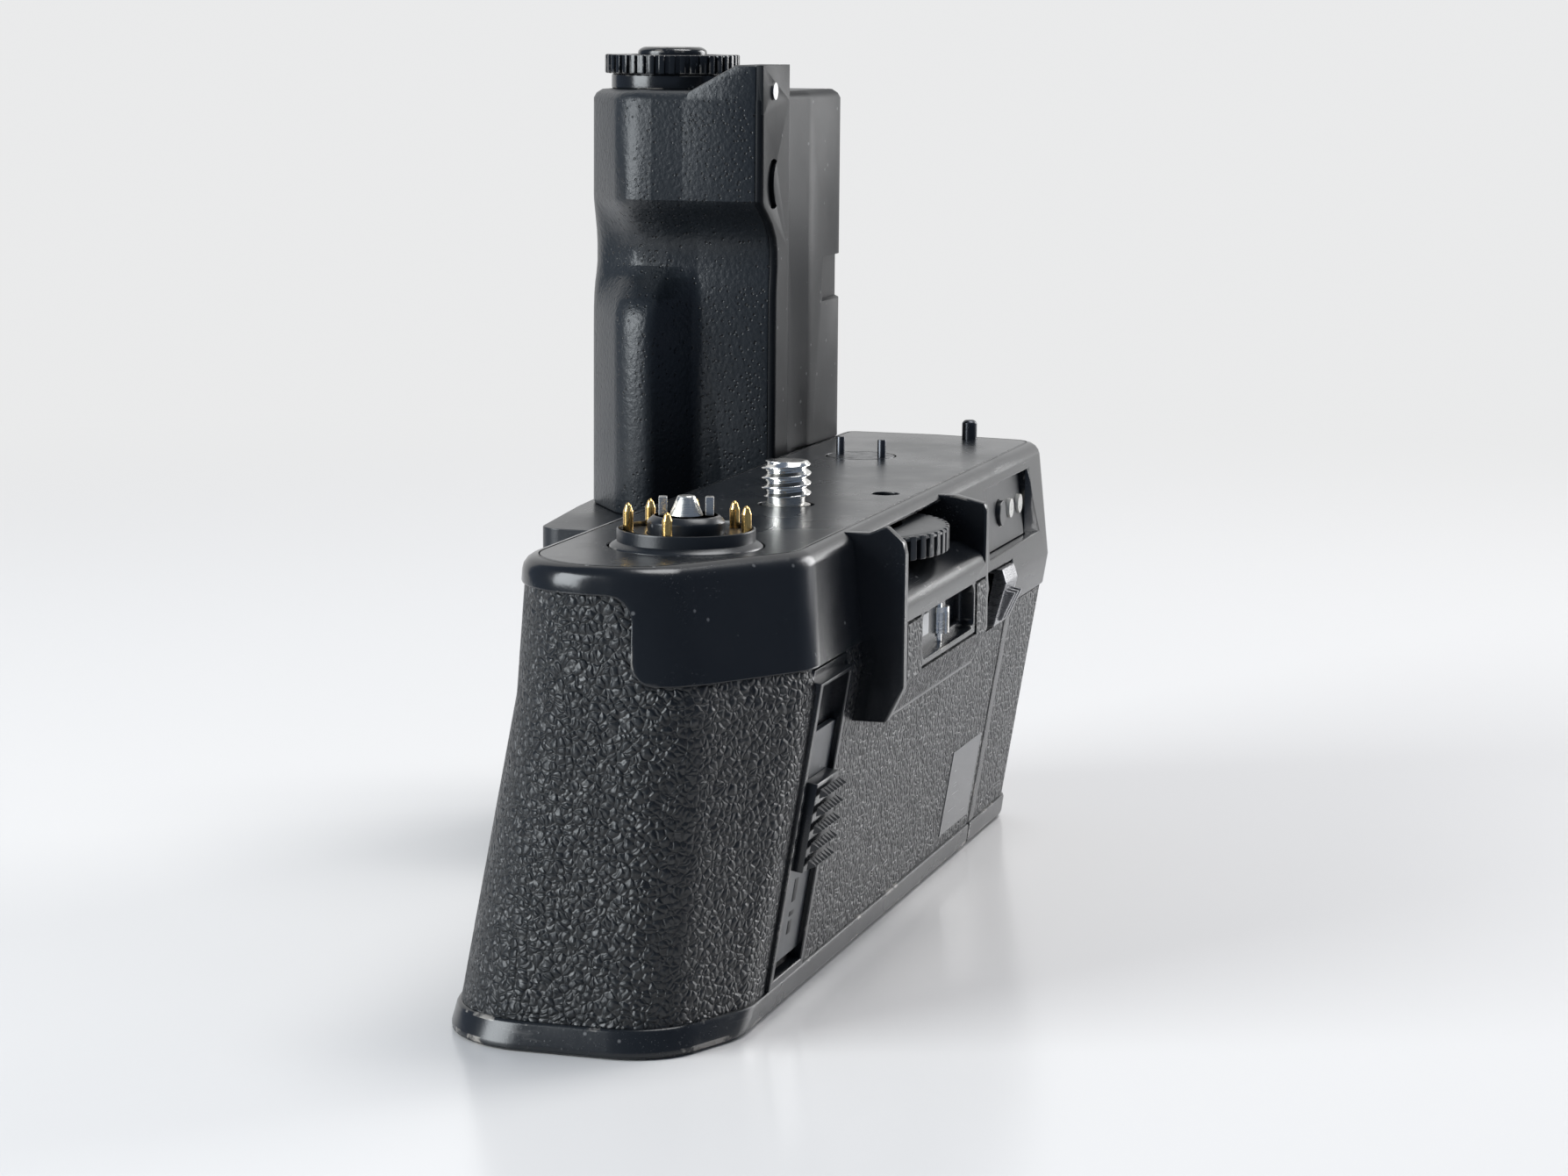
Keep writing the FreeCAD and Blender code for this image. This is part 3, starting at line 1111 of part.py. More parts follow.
def grip_form():
    """Whole outside of the grip, before it is parted into two shells."""
    wires = [outline(grip_corners(pillar, waist), z) for z, pillar, waist in GRIP_HEIGHTS]
    top = grip_corners(*GRIP_HEIGHTS[-1][1:])
    wires += [outline(top, GRIP_TOP_Z - 0.5, 0.4), outline(top, GRIP_TOP_Z, 1.2)]
    form = Part.makeLoft(wires, True, True)
    hump = prism_yz([(STRIP_Y, GRIP_TOP_Z - 3), (HUMP_FOOT_Y + 1, GRIP_TOP_Z - 3), (HUMP_FOOT_Y, GRIP_TOP_Z),
                     (HUMP_FLAT_Y, HUMP_Z), (STRIP_Y, HUMP_Z)], GRIP_FACE_X + 0.8, STRIP_X)
    r = GRIP_END_R
    far_round = box(LENGTH - r, LENGTH + 1, 0, FAR, GRIP_TOP_Z - r, GRIP_TOP_Z + 1)
    far_round = far_round.cut(bar_y(LENGTH - r, GRIP_TOP_Z - r, 0, FAR, r))
    return fuse(form, hump).cut(far_round).cut(skin(0, PLATE_TOP + 0.1))


def grip_front():
    front = grip_form().common(box(0, FAR, GRIP_SEAM_Y, FAR, 0, FAR))
    front = front.cut(plan(GRIP_HOLLOW, GRIP_FOOT_Z - 1, GRIP_TOP_Z - GRIP_SKIN))
    hub_low = GRIP_TOP_Z - BUTTON_WELL - 1
    front = front.cut(post(DIAL_X, DIAL_Y, hub_low, GRIP_TOP_Z + 1, BUTTON_R + BUTTON_WALL))
    return front.cut(gear_slot())


def grip_rear():
    rear = grip_form().common(box(0, FAR, 0, GRIP_SEAM_Y, 0, FAR))
    rear = rear.cut(box(LENGTH - 16.5, LENGTH - 2.5, 0, GRIP_SEAM_Y - 0.9, PLATE_TOP + 20.5,
                        PLATE_TOP + 27.0))
    x, z = GRIP_FACE_X + 6.1, PLATE_TOP + 38.2
    crescent = bar_y(x, z, 0, GRIP_SEAM_Y - 0.4, 3.5).cut(bar_y(x + 4, z, 0, FAR, 4.0))
    rear = rear.cut(crescent).cut(grip_screw())
    return rear.cut(gear_slot())


def grip_screw():
    return bar_y(GRIP_SCREW_X, GRIP_SCREW_Z, STRIP_Y - 0.3, GRIP_SEAM_Y, GRIP_SCREW_R)


def behind_front(inset):
    """All the space behind the body's sloping front face, which is moved back by inset."""
    rows = [(z, section(z)[2] - inset) for z in (0.0, KNEE_Z, PLATE_TOP)]
    points = [(-FAR, 0)] + [(y, z) for z, y in rows] + [(-FAR, PLATE_TOP)]
    return prism_yz(points, 0, FAR)


def front_housing():
    """Block at the grip's foot, standing against the front of the body."""
    steps = ((HOUSING_FOOT_Z, 1.5), (HOUSING_FOOT_Z + 1.5, 0), (GRIP_FOOT_Z, 0))
    block = Part.makeLoft([outline(FOOT_PLAN, z, inset) for z, inset in steps], True, True)
    body = skin(0, PLATE_TOP, SHELL_INSET).fuse(behind_front(SHELL_INSET))
    upper = skin(PANEL_LOW_Z, PLATE_TOP).common(trim_region())
    cap_room = behind_front(SHELL_INSET - 0.4).common(box(SEAM_NEAR, LENGTH + 20, -20, 80, 0, FAR_TRIM_Z))
    inner = plan(FOOT_PLAN, HOUSING_FOOT_Z + 2.0, GRIP_FOOT_Z - 2.0, 2.2)
    inner = inner.cut(skin(0, PLATE_TOP, -2.0)).cut(box(0, LENGTH, 0, FRONT_Y + 3.9, 0, PLATE_TOP))
    block = block.cut(body).cut(upper).cut(cap_room).cut(inner)
    idler_post = post(IDLER_X, IDLER_Y, GRIP_FOOT_Z, GEAR_TOP_Z + 0.4, IDLER_POST_R)
    socket = bar_y(REMOTE_X, REMOTE_Z, FRONT_Y + 10, FRONT_Y + 40, REMOTE_R)
    return block.cut(socket).fuse(idler_post)


def remote_socket():
    """Round socket with three contact holes, set in the front housing."""
    face = REMOTE_FACE_Y
    shell = bar_y(REMOTE_X, REMOTE_Z, face - 6, face + 1.0, REMOTE_R)
    shell = shell.cut(bar_y(REMOTE_X, REMOTE_Z, face - 4, face + 2, REMOTE_R - 1.1))
    pins = []
    for turn in (90, 210, 330):
        a = math.radians(turn)
        pins.append(bar_y(REMOTE_X + 1.9 * math.cos(a), REMOTE_Z + 1.9 * math.sin(a), face - 4.2,
                          face - 1.0, 0.5))
    return fuse(shell, *pins)


def dial_collar():
    collar = post(DIAL_X, DIAL_Y, GRIP_TOP_Z, COLLAR_TOP_Z, COLLAR_R)
    hub = post(DIAL_X, DIAL_Y, GRIP_TOP_Z - BUTTON_WELL - 0.5, GRIP_TOP_Z, BUTTON_R + BUTTON_WALL)
    hub = hub.fuse(post(DIAL_X, DIAL_Y, GRIP_TOP_Z, HUB_TOP_Z, HUB_R))
    return fuse(collar, hub).cut(post(DIAL_X, DIAL_Y, GRIP_TOP_Z - BUTTON_WELL, HUB_TOP_Z + 1,
                                      BUTTON_R + RUN_CLEAR))


def selector_ring():
    ring = ribbed(RING_RIBS, DIAL_X, DIAL_Y, RING_LOW_Z, RING_TOP_Z, RING_R, RING_RIB_H, 0.6)
    return ring.cut(post(DIAL_X, DIAL_Y, RING_LOW_Z - 1, RING_TOP_Z + 1, HUB_R + RUN_CLEAR))


def shutter_button():
    low = GRIP_TOP_Z - BUTTON_WELL + BUTTON_TRAVEL + 0.3
    button = post(DIAL_X, DIAL_Y, low, BUTTON_TOP_Z - 0.5, BUTTON_R)
    return fuse(button, cone(DIAL_X, DIAL_Y, BUTTON_TOP_Z - 0.5, BUTTON_TOP_Z, BUTTON_R, BUTTON_R - 0.8))


PIECES = {
    "bottom_cover": bottom_cover,
    "bottom_screws": bottom_screws,
    "tripod_socket": tripod_socket,
    "body_shell": body_shell,
    "leather_near": leather_near,
    "leather_back": leather_back,
    "upper_housing": upper_housing,
    "leather_panel": leather_panel,
    "top_plate": top_plate,
    "lamp_panel": lamp_panel,
    "lamps": lamps,
    "lamp_bracket": lamp_bracket,
    "check_button": check_button,
    "counter_window": counter_window,
    "counter_roller": counter_roller,
    "contact_base": contact_base,
    "contact_bridge": contact_bridge,
    "rewind_turret": rewind_turret,
    "rewind_fork": rewind_fork,
    "camera_screw": camera_screw,
    "screw_gear": screw_gear,
    "thumbwheel": thumbwheel,
    "wheel_carrier": wheel_carrier,
    "gear_plate": gear_plate,
    "circuit_board": circuit_board,
    "board_parts": board_parts,
    "wind_coupler": wind_coupler,
    "wind_gear": wind_gear,
    "idler_gear": idler_gear,
    "motor_pinion": motor_pinion,
    "motor_shaft": motor_shaft,
    "motor_can": motor_can,
    "motor_mount": motor_mount,
    "rewind_pin": rewind_pin,
    "rewind_lever": rewind_lever,
    "slider_guide": slider_guide,
    "rewind_slider": rewind_slider,
    "slider_thumb": slider_thumb,
    "battery_tray": battery_tray,
    "battery_cells": battery_cells,
    "battery_contacts": battery_contacts,
    "battery_cap": battery_cap,
    "cap_leather": cap_leather,
    "grip_front": grip_front,
    "grip_rear": grip_rear,
    "grip_screw": grip_screw,
    "front_housing": front_housing,
    "remote_socket": remote_socket,
    "dial_collar": dial_collar,
    "selector_ring": selector_ring,
    "shutter_button": shutter_button,
}


def main():
    os.makedirs("parts", exist_ok=True)
    shapes = {name: make() for name, make in PIECES.items()}
    for i, (x, y) in enumerate(pin_places()):
        shapes["contact_pin_%d" % (i + 1)] = contact_pin(x, y)
    for name, shape in shapes.items():
        placed = shape.copy()
        placed.translate(V(-SOCKET_X, -SOCKET_Y, 0))
        placed.exportStep("parts/%s.step" % name)
        print("%-18s solids %d valid %s volume %.0f" % (name, len(shape.Solids), shape.isValid(),
                                                        shape.Volume))


main()
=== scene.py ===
# %% [markdown]
# # Camera motor drive
# The real object is a motor drive that screws under a camera: a leather-covered body, a hand grip
# with a shutter button, gold contacts and a threaded stud on its top plate. The solids come from
# the CAD model. This lesson dresses them: it gives each one a finish and models what a
# solid is too plain for. Blender gets metres, in the frame of the CAD model, and a size that reads
# more easily in millimetres is multiplied by MM.

# %% Load the frame
import json
import math

import bmesh
import bpy
from mathutils import Matrix, Vector


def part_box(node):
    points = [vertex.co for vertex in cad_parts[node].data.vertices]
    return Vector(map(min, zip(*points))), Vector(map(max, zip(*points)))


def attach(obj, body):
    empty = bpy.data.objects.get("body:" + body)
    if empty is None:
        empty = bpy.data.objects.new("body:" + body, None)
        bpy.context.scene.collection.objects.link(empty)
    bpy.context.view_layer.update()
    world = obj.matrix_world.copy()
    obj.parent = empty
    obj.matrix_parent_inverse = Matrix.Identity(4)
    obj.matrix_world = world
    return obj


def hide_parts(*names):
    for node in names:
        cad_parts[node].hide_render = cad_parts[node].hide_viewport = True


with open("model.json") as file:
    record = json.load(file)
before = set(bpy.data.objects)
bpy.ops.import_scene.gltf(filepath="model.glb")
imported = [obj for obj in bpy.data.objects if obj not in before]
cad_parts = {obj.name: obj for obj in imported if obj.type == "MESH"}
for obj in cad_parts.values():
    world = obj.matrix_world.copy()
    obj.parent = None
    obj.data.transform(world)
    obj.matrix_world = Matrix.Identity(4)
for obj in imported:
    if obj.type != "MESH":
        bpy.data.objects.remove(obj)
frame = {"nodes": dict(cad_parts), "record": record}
nodes = frame["nodes"]
body_of_node = {n: b for b, ns in frame["record"]["behaviour"]["bodies"].items() for n in ns}
slot_of_node = {s["node"]: s["material_slot"] for s in frame["record"]["subparts"]}
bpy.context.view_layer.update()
MM = 0.001

# %% [markdown]
# ## The camera
# The photograph was taken from low down, near the contact end, with a long lens. Its place was
# worked out from the object's own edges, so the render can be laid over the photograph. The three
# angles turn the camera: yaw from +X towards +Y, pitch below the horizon, and a slight roll.

# %% Object helper


def show(name, data):
    """New object with this mesh, lamp or camera, linked into the scene."""
    item = bpy.data.objects.new(name, data)
    bpy.context.scene.collection.objects.link(item)
    return item


print("defined show")

# %% Directions of the camera
YAW, PITCH, ROLL = (math.radians(a) for a in (16.592, 8.751, 0.470))
EYE = Vector((-0.469008, -0.142725, 0.118740))
LENS, SENSOR = 86.35, 36
forward = Vector((math.cos(YAW) * math.cos(PITCH), math.sin(YAW) * math.cos(PITCH), -math.sin(PITCH)))
level = Vector((math.sin(YAW), -math.cos(YAW), 0))
upward = level.cross(forward)
right = level * math.cos(ROLL) + upward * math.sin(ROLL)
top = upward * math.cos(ROLL) - level * math.sin(ROLL)
print("camera looks along", [round(v, 3) for v in forward])

# %% Place the camera
camera = show("camera", bpy.data.cameras.new("camera"))
camera.data.sensor_width = SENSOR
camera.data.lens = LENS
camera.data.clip_start = 0.02
camera.data.clip_end = 20
turn = Matrix((right, top, -forward)).transposed().to_4x4()
camera.matrix_world = Matrix.Translation(EYE) @ turn
bpy.context.scene.camera = camera
bpy.context.scene.view_settings.view_transform = "Standard"
print("camera", round(EYE.length, 3), "m from the origin, lens", LENS)

# %% [markdown]
# ## The stage
# A seamless pale sheet: a floor that curls up into a backdrop. It could be a plane and a wall, but
# their corner would show as a line, so one profile is swept instead. Its own colour makes the white,
# and a slightly glossy floor gives the soft mirror image that the photograph shows under the body.
# In front it is short and narrow, because the glossy black near end mirrors what lies before it.

# %% Build the sheet
FRONT_X = -0.20
BACK_X = 1.6
CURL = 0.5
CURL_STEPS = 12
TOP_Z = 2.6
FRONT_HALF = 0.20
SPREAD = 0.9


def sheet_of_paper():
    """Floor and backdrop as one swept profile along +X, narrow in front and wide at the back."""
    profile = [(FRONT_X, 0.0), (0.0, 0.0), (BACK_X - CURL, 0.0)]
    for i in range(1, CURL_STEPS + 1):
        a = math.radians(i * 90 / CURL_STEPS)
        profile.append((BACK_X - CURL + CURL * math.sin(a), CURL * (1 - math.cos(a))))
    profile.append((BACK_X, TOP_Z))
    mesh = bpy.data.meshes.new("paper")
    points = [(x, side * (FRONT_HALF + SPREAD * max(x, 0.0)), z) for side in (-1, 1) for x, z in profile]
    n = len(profile)
    mesh.from_pydata(points, [], [(i, i + 1, n + i + 1, n + i) for i in range(n - 1)])
    mesh.shade_smooth()
    return mesh


paper = show("paper", sheet_of_paper())
paper.matrix_world = Matrix.Rotation(YAW, 4, "Z")
print("sheet", len(paper.data.polygons), "faces")

# %% [markdown]
# ## Helpers for materials
# Nodes are made by name and joined by their sockets. One small helper keeps the material code
# short: it makes a node, sets the values given by name, and links any socket passed in.

# %% Node helper


def put(tree, kind, inputs=None, **settings):
    """Adds a node. A value in inputs is a number, colour or vector, or a socket to link."""
    node = tree.nodes.new(kind)
    for key, value in settings.items():
        setattr(node, key, value)
    for key, value in (inputs or {}).items():
        socket = node.inputs[key]
        if isinstance(value, bpy.types.NodeSocket):
            tree.links.new(value, socket)
        else:
            socket.default_value = value
    return node


print("defined put")

# %% Number and colour helpers


def math_node(tree, operation, a, b=0.0, clamp=False):
    return put(tree, "ShaderNodeMath", {0: a, 1: b}, operation=operation, use_clamp=clamp).outputs[0]


def ramp(tree, value, low, high, out_low=0.0, out_high=1.0):
    """Smooth step of a value between two limits."""
    node = put(tree, "ShaderNodeMapRange", {"Value": value, "From Min": low, "From Max": high,
                                             "To Min": out_low, "To Max": out_high})
    node.interpolation_type = "SMOOTHSTEP"
    return node.outputs[0]


def mix_colours(tree, factor, a, b):
    """Mix of two colours. The mix node's colour sockets are the ones numbered 6, 7 and 2."""
    return put(tree, "ShaderNodeMix", {0: factor, 6: a, 7: b}, data_type="RGBA").outputs[2]


def grey(v, tint=(1.0, 1.0, 1.0)):
    """Colour with alpha from one value and a tint."""
    return (v * tint[0], v * tint[1], v * tint[2], 1.0)


print("defined math_node, ramp, mix_colours and grey")

# %% Group helper


def group(name, inputs, outputs):
    """Empty shader group with float inputs (name, default), a Vector input and the outputs."""
    tree = bpy.data.node_groups.new(name, "ShaderNodeTree")
    tree.interface.new_socket("Vector", in_out="INPUT", socket_type="NodeSocketVector")
    for key, value in inputs:
        socket = tree.interface.new_socket(key, in_out="INPUT", socket_type="NodeSocketFloat")
        socket.default_value = value
    for key in outputs:
        tree.interface.new_socket(key, in_out="OUTPUT", socket_type="NodeSocketFloat")
    start = tree.nodes.new("NodeGroupInput")
    end = tree.nodes.new("NodeGroupOutput")
    return tree, start.outputs, end.inputs


print("defined group")

# %% [markdown]
# ## Shared effects
# Dust, scratches, grain and crinkle are node groups that a material places with its own values.
# They all read object coordinates, which are metres here.
#
# Dust lies on the painted and moulded blacks as tiny pale specks. They could be painted one by one,
# but a Voronoi pattern scatters them without an image: a share of its cells gets one dot in the
# middle.

# %% Dust specks


def make_dust():
    """Small round dots in a chosen share of the cells."""
    tree, inp, out = group("dust", (("Scale", 900.0), ("Share", 0.2)), ("Mask",))
    cells = put(tree, "ShaderNodeTexVoronoi", {"Vector": inp["Vector"], "Scale": inp["Scale"]})
    chance = put(tree, "ShaderNodeSeparateColor", {"Color": cells.outputs["Color"]}).outputs[0]
    chosen = math_node(tree, "LESS_THAN", chance, inp["Share"])
    near = ramp(tree, cells.outputs["Distance"], 0.10, 0.22, 1.0, 0.0)
    tree.links.new(math_node(tree, "MULTIPLY", chosen, near), out["Mask"])
    return tree


DUST = make_dust()
print("dust", len(DUST.nodes), "nodes")

# %% [markdown]
# ### Scratches
# Handling leaves hairlines in two main directions. Noise that is squeezed across a line gives long
# thin streaks, a high threshold thins them to hairlines, and a broad noise keeps them to patches.

# %% Scratches


def make_scratches():
    """Thin broken lines: noise that is stretched a lot along one direction, cut to a sliver."""
    tree, inp, out = group("scratches", (("Scale", 90.0), ("Amount", 0.5)), ("Mask",))
    masks = []
    for angle, squeeze in ((0.5, 26.0), (-0.9, 34.0)):
        drawn = put(tree, "ShaderNodeMapping", {"Vector": inp["Vector"], "Scale": (1.0, squeeze, squeeze),
                                                "Rotation": (angle, angle * 0.7, angle)})
        lines = put(tree, "ShaderNodeTexNoise", {"Vector": drawn.outputs[0], "Scale": inp["Scale"],
                                                 "Detail": 2.0, "Roughness": 0.6})
        masks.append(ramp(tree, lines.outputs["Fac"], 0.66, 0.72))
    patchy = put(tree, "ShaderNodeTexNoise", {"Vector": inp["Vector"], "Scale": 60.0, "Detail": 3.0})
    where = ramp(tree, patchy.outputs["Fac"], 0.45, 0.65)
    both = math_node(tree, "MAXIMUM", masks[0], masks[1])
    kept = math_node(tree, "MULTIPLY", both, where)
    tree.links.new(math_node(tree, "MULTIPLY", kept, inp["Amount"]), out["Mask"])
    return tree


SCRATCHES = make_scratches()
print("scratches", len(SCRATCHES.nodes), "nodes")

# %% [markdown]
# ### Leather grain
# Camera leatherette is embossed with rounded pebbles about a millimetre across, parted by fine
# creases of uneven depth. Real geometry for thousands of pebbles would be heavy, so this is relief
# in the finish. The distance to a Voronoi cell's border gives the creases and the shoulders, the
# distance to its middle gives the dome, and two noises make the height uneven. The coordinates are
# warped with noise first, which keeps the cells from looking like tiles.

# %% Pebble grain


def make_pebbles():
    """Height of the pebbles, and a mask of the creases between them."""
    tree, inp, out = group("pebbles", (("Scale", 850.0), ("Warp", 0.0013)), ("Height", "Crease"))
    drift = put(tree, "ShaderNodeTexNoise", {"Vector": inp["Vector"], "Scale": 620.0, "Detail": 1.0})
    shift = put(tree, "ShaderNodeVectorMath", {0: drift.outputs["Color"], 1: (0.5, 0.5, 0.5)},
                operation="SUBTRACT").outputs[0]
    far = put(tree, "ShaderNodeVectorMath", {0: shift, "Scale": inp["Warp"]}, operation="SCALE").outputs[0]
    place = put(tree, "ShaderNodeVectorMath", {0: inp["Vector"], 1: far}, operation="ADD").outputs[0]
    edge = put(tree, "ShaderNodeTexVoronoi", {"Vector": place, "Scale": inp["Scale"]},
               feature="DISTANCE_TO_EDGE").outputs["Distance"]
    dome = put(tree, "ShaderNodeTexVoronoi", {"Vector": place, "Scale": inp["Scale"]},
               feature="F1").outputs["Distance"]
    broad, rough = (put(tree, "ShaderNodeTexNoise", {"Vector": inp["Vector"], "Scale": size,
                                                     "Detail": 2.0}).outputs["Fac"]
                    for size in (300.0, 1700.0))
    height = math_node(tree, "MULTIPLY", math_node(tree, "MULTIPLY", dome, dome), -0.8)
    height = math_node(tree, "ADD", height, ramp(tree, edge, 0.0, 0.34, 0.0, 0.52))
    height = math_node(tree, "ADD", height, math_node(tree, "MULTIPLY", broad, 0.7))
    height = math_node(tree, "ADD", height, math_node(tree, "MULTIPLY", rough, 0.20))
    tree.links.new(height, out["Height"])
    tree.links.new(ramp(tree, edge, 0.0, 0.13, 1.0, 0.0), out["Crease"])
    return tree


PEBBLES = make_pebbles()
print("pebbles", len(PEBBLES.nodes), "nodes")

# %% [markdown]
# ### Crinkle paint
# The front of the grip has a fine stipple with scattered small round pits. A noise gives the
# stipple, and a dot in a share of the cells of a Voronoi pattern presses each pit into it.

# %% Crinkle paint, with small pits


def make_crinkle():
    """Height of the stipple with its pits, and a mask of the pits."""
    tree, inp, out = group("crinkle", (("Scale", 1000.0), ("Pits", 0.3)), ("Height", "Pit"))
    base = put(tree, "ShaderNodeTexNoise", {"Vector": inp["Vector"], "Scale": inp["Scale"], "Detail": 2.0,
                                            "Roughness": 0.5}).outputs["Fac"]
    cells = put(tree, "ShaderNodeTexVoronoi", {"Vector": inp["Vector"], "Scale": inp["Scale"]})
    chance = put(tree, "ShaderNodeSeparateColor", {"Color": cells.outputs["Color"]}).outputs[0]
    chosen = math_node(tree, "LESS_THAN", chance, inp["Pits"])
    pit = math_node(tree, "MULTIPLY", ramp(tree, cells.outputs["Distance"], 0.16, 0.34, 1.0, 0.0), chosen)
    tree.links.new(math_node(tree, "SUBTRACT", base, math_node(tree, "MULTIPLY", pit, 0.7)), out["Height"])
    tree.links.new(pit, out["Pit"])
    return tree


CRINKLE = make_crinkle()
print("crinkle", len(CRINKLE.nodes), "nodes")

# %% [markdown]
# ## Finishes
# Each finish is one material. The shader's plain values sit on its own sockets, and only what
# changes over the surface comes through nodes. The record names a slot for each CAD node, and each
# slot has a finish of the same name. A few more are for pieces whose slot is right but whose own
# paint is duller, paler or more worn. The slider's paler grey is not its own paint: it is a painted
# reflection of the light its plate catches.

# %% Material helper


def start_material(name, roughness=0.5, metallic=0.0, specular=0.5, coat=0.0):
    """New material with a Principled shader and object coordinates."""
    material = bpy.data.materials.new(name)
    material.use_nodes = True
    tree = material.node_tree
    tree.nodes.clear()
    shader = put(tree, "ShaderNodeBsdfPrincipled", {"Roughness": roughness, "Metallic": metallic,
                                                    "Specular IOR Level": specular, "Coat Weight": coat,
                                                    "Coat Roughness": 0.1})
    put(tree, "ShaderNodeOutputMaterial", {"Surface": shader.outputs[0]})
    where = put(tree, "ShaderNodeTexCoord").outputs["Object"]
    return material, tree, shader, where


def use_group(tree, which, **values):
    """Places a shared effect with its own values."""
    return put(tree, "ShaderNodeGroup", values, node_tree=which).outputs


FINISH = {}


def keep(**made):
    """Lists finishes under the names that the pieces ask for."""
    for name, material in made.items():
        FINISH[name] = material
        print("finish", name, len(material.node_tree.nodes), "nodes")


# %% Link and relief helpers


def feed(tree, shader, **sockets):
    """Links sockets into the shader; a name's underscores stand for spaces."""
    for key, value in sockets.items():
        tree.links.new(value, shader.inputs[key.replace("_", " ")])


def bump(tree, height, distance):
    """Relief of a height field; the distance is in metres."""
    return put(tree, "ShaderNodeBump", {"Height": height, "Distance": distance, "Strength": 1.0}).outputs[0]


def noise(tree, where, scale, detail=2.0, roughness=0.5):
    return put(tree, "ShaderNodeTexNoise", {"Vector": where, "Scale": scale, "Detail": detail,
                                            "Roughness": roughness}).outputs["Fac"]


print("defined feed, bump and noise")

# %% [markdown]
# ### Leather
# Black leatherette: nearly black, a little bluish, with a soft sheen; the creases are darkened in colour as
# painted shade. An image of leather would repeat and blur close up, so the pebble group gives relief and
# creases.

# %% Leather
LEATHER_TINT = (0.85, 1.0, 1.16)
PEBBLE_DEPTH = 0.27 * MM


def leather():
    material, tree, shader, where = start_material("leather", specular=0.5)
    grain = use_group(tree, PEBBLES, Vector=where, Scale=1100.0)
    patch = noise(tree, where, 45.0, 3.0)
    tone = mix_colours(tree, patch, grey(0.007, LEATHER_TINT), grey(0.013, LEATHER_TINT))
    # painted shade: the creases are darkened towards near black
    tone = mix_colours(tree, math_node(tree, "MULTIPLY", grain["Crease"], 0.8), tone, grey(0.004))
    rough = ramp(tree, noise(tree, where, 500.0, 2.0), 0.3, 0.7, 0.34, 0.46)
    feed(tree, shader, Base_Color=tone, Roughness=rough, Normal=bump(tree, grain["Height"], PEBBLE_DEPTH))
    return material


keep(leather=leather())

# %% [markdown]
# ### Blacks
# Most of the drive is painted metal or moulded plastic, and the blacks differ only in tone, gloss
# and wear. One function makes them all: a slow change of tone, hairlines, dust, and a pale rub
# where a bevel's faces carry the edge attribute, which is partly edge wear and partly a painted
# highlight along the edges. Scuffs are for the base, which slides on tables.

# %% Painted and moulded blacks
BLACK_TINT = (0.84, 1.0, 1.22)
# pale tone of the rubbed edges: edge wear and a painted edge highlight
RUB_AND_HIGHLIGHT_TONE = grey(0.26, (1.0, 0.93, 0.84))
SCUFF_TONE = grey(0.10, (1.0, 0.97, 0.93))
SPECK_SHARE = 0.12
PAINT_GRAIN = 0.008 * MM


def black(name, tone, gloss, wear=0.3, rub_and_highlight=0.5, scuffs=0.0, tint=BLACK_TINT, shine=0.5):
    """Black paint or plastic: slow changes of tone and gloss, hairline scratches and dust."""
    material, tree, shader, where = start_material(name, specular=shine)
    patch = noise(tree, where, 38.0, 4.0, 0.6)
    colour = mix_colours(tree, patch, grey(tone * 0.75, tint), grey(tone * 1.25, tint))
    marks = use_group(tree, SCRATCHES, Vector=where, Amount=wear)["Mask"]
    dust = use_group(tree, DUST, Vector=where, Scale=700.0, Share=SPECK_SHARE)["Mask"]
    colour = mix_colours(tree, marks, colour, grey(0.12))
    rim = put(tree, "ShaderNodeAttribute", attribute_name="edge").outputs["Fac"]
    # pale rub on the bevel faces: partly edge wear, partly a painted highlight along the edges
    rub_and_highlight_mask = math_node(tree, "MULTIPLY", rim, ramp(tree, noise(tree, where, 170.0, 4.0, 0.65), 0.56, 0.64))
    colour = mix_colours(tree, math_node(tree, "MULTIPLY", rub_and_highlight_mask, rub_and_highlight), colour, RUB_AND_HIGHLIGHT_TONE)
    colour = mix_colours(tree, math_node(tree, "MULTIPLY", dust, 0.5), colour, grey(0.22))
    if scuffs:
        drawn = put(tree, "ShaderNodeMapping", {"Vector": where, "Scale": (1.0, 1.0, 5.0)}).outputs[0]
        smear = ramp(tree, noise(tree, drawn, 110.0, 6.0, 0.72), 0.56, 0.72)
        colour = mix_colours(tree, math_node(tree, "MULTIPLY", smear, scuffs), colour, SCUFF_TONE)
    rough = ramp(tree, patch, 0.35, 0.65, gloss - 0.04, gloss + 0.05)
    rough = math_node(tree, "ADD", rough, math_node(tree, "MULTIPLY", marks, 0.2))
    tiny = noise(tree, where, 2600.0, 2.0)
    feed(tree, shader, Base_Color=colour, Roughness=rough, Normal=bump(tree, tiny, PAINT_GRAIN))
    return material


# %% Eight paints and plastics
keep(gloss_black=black("gloss_black", 0.009, 0.22, wear=0.45),
     satin_black=black("satin_black", 0.013, 0.31, wear=0.25),
     black_plastic=black("black_plastic", 0.012, 0.28, wear=0.2),
     plate_black=black("plate_black", 0.010, 0.27, wear=0.2, rub_and_highlight=0.4),
     base_black=black("base_black", 0.010, 0.25, wear=0.6, rub_and_highlight=1.0, scuffs=0.55),
     rear_black=black("rear_black", 0.007, 0.46, wear=0.2, rub_and_highlight=0.3, shine=0.16),
     # slider plate: a paler grey that stands in for the light it reflects, a painted reflection
     slider_grey=black("slider_grey", 0.030, 0.34, wear=0.3, rub_and_highlight=0.5),
     label=black("label", 0.16, 0.20, wear=0.5, rub_and_highlight=0.0, tint=(1.0, 1.0, 1.0)))

# %% [markdown]
# ### The grip's skin
# The grip's front shell has the crinkle paint, which keeps a wet hand from slipping. It is a
# material of its own because its colour follows the pits: they are darkened, as painted shade in the
# hollows.

# %% Crinkle-textured grip
GRIP_TINT = (0.80, 1.0, 1.22)
STIPPLE_DEPTH = 0.09 * MM


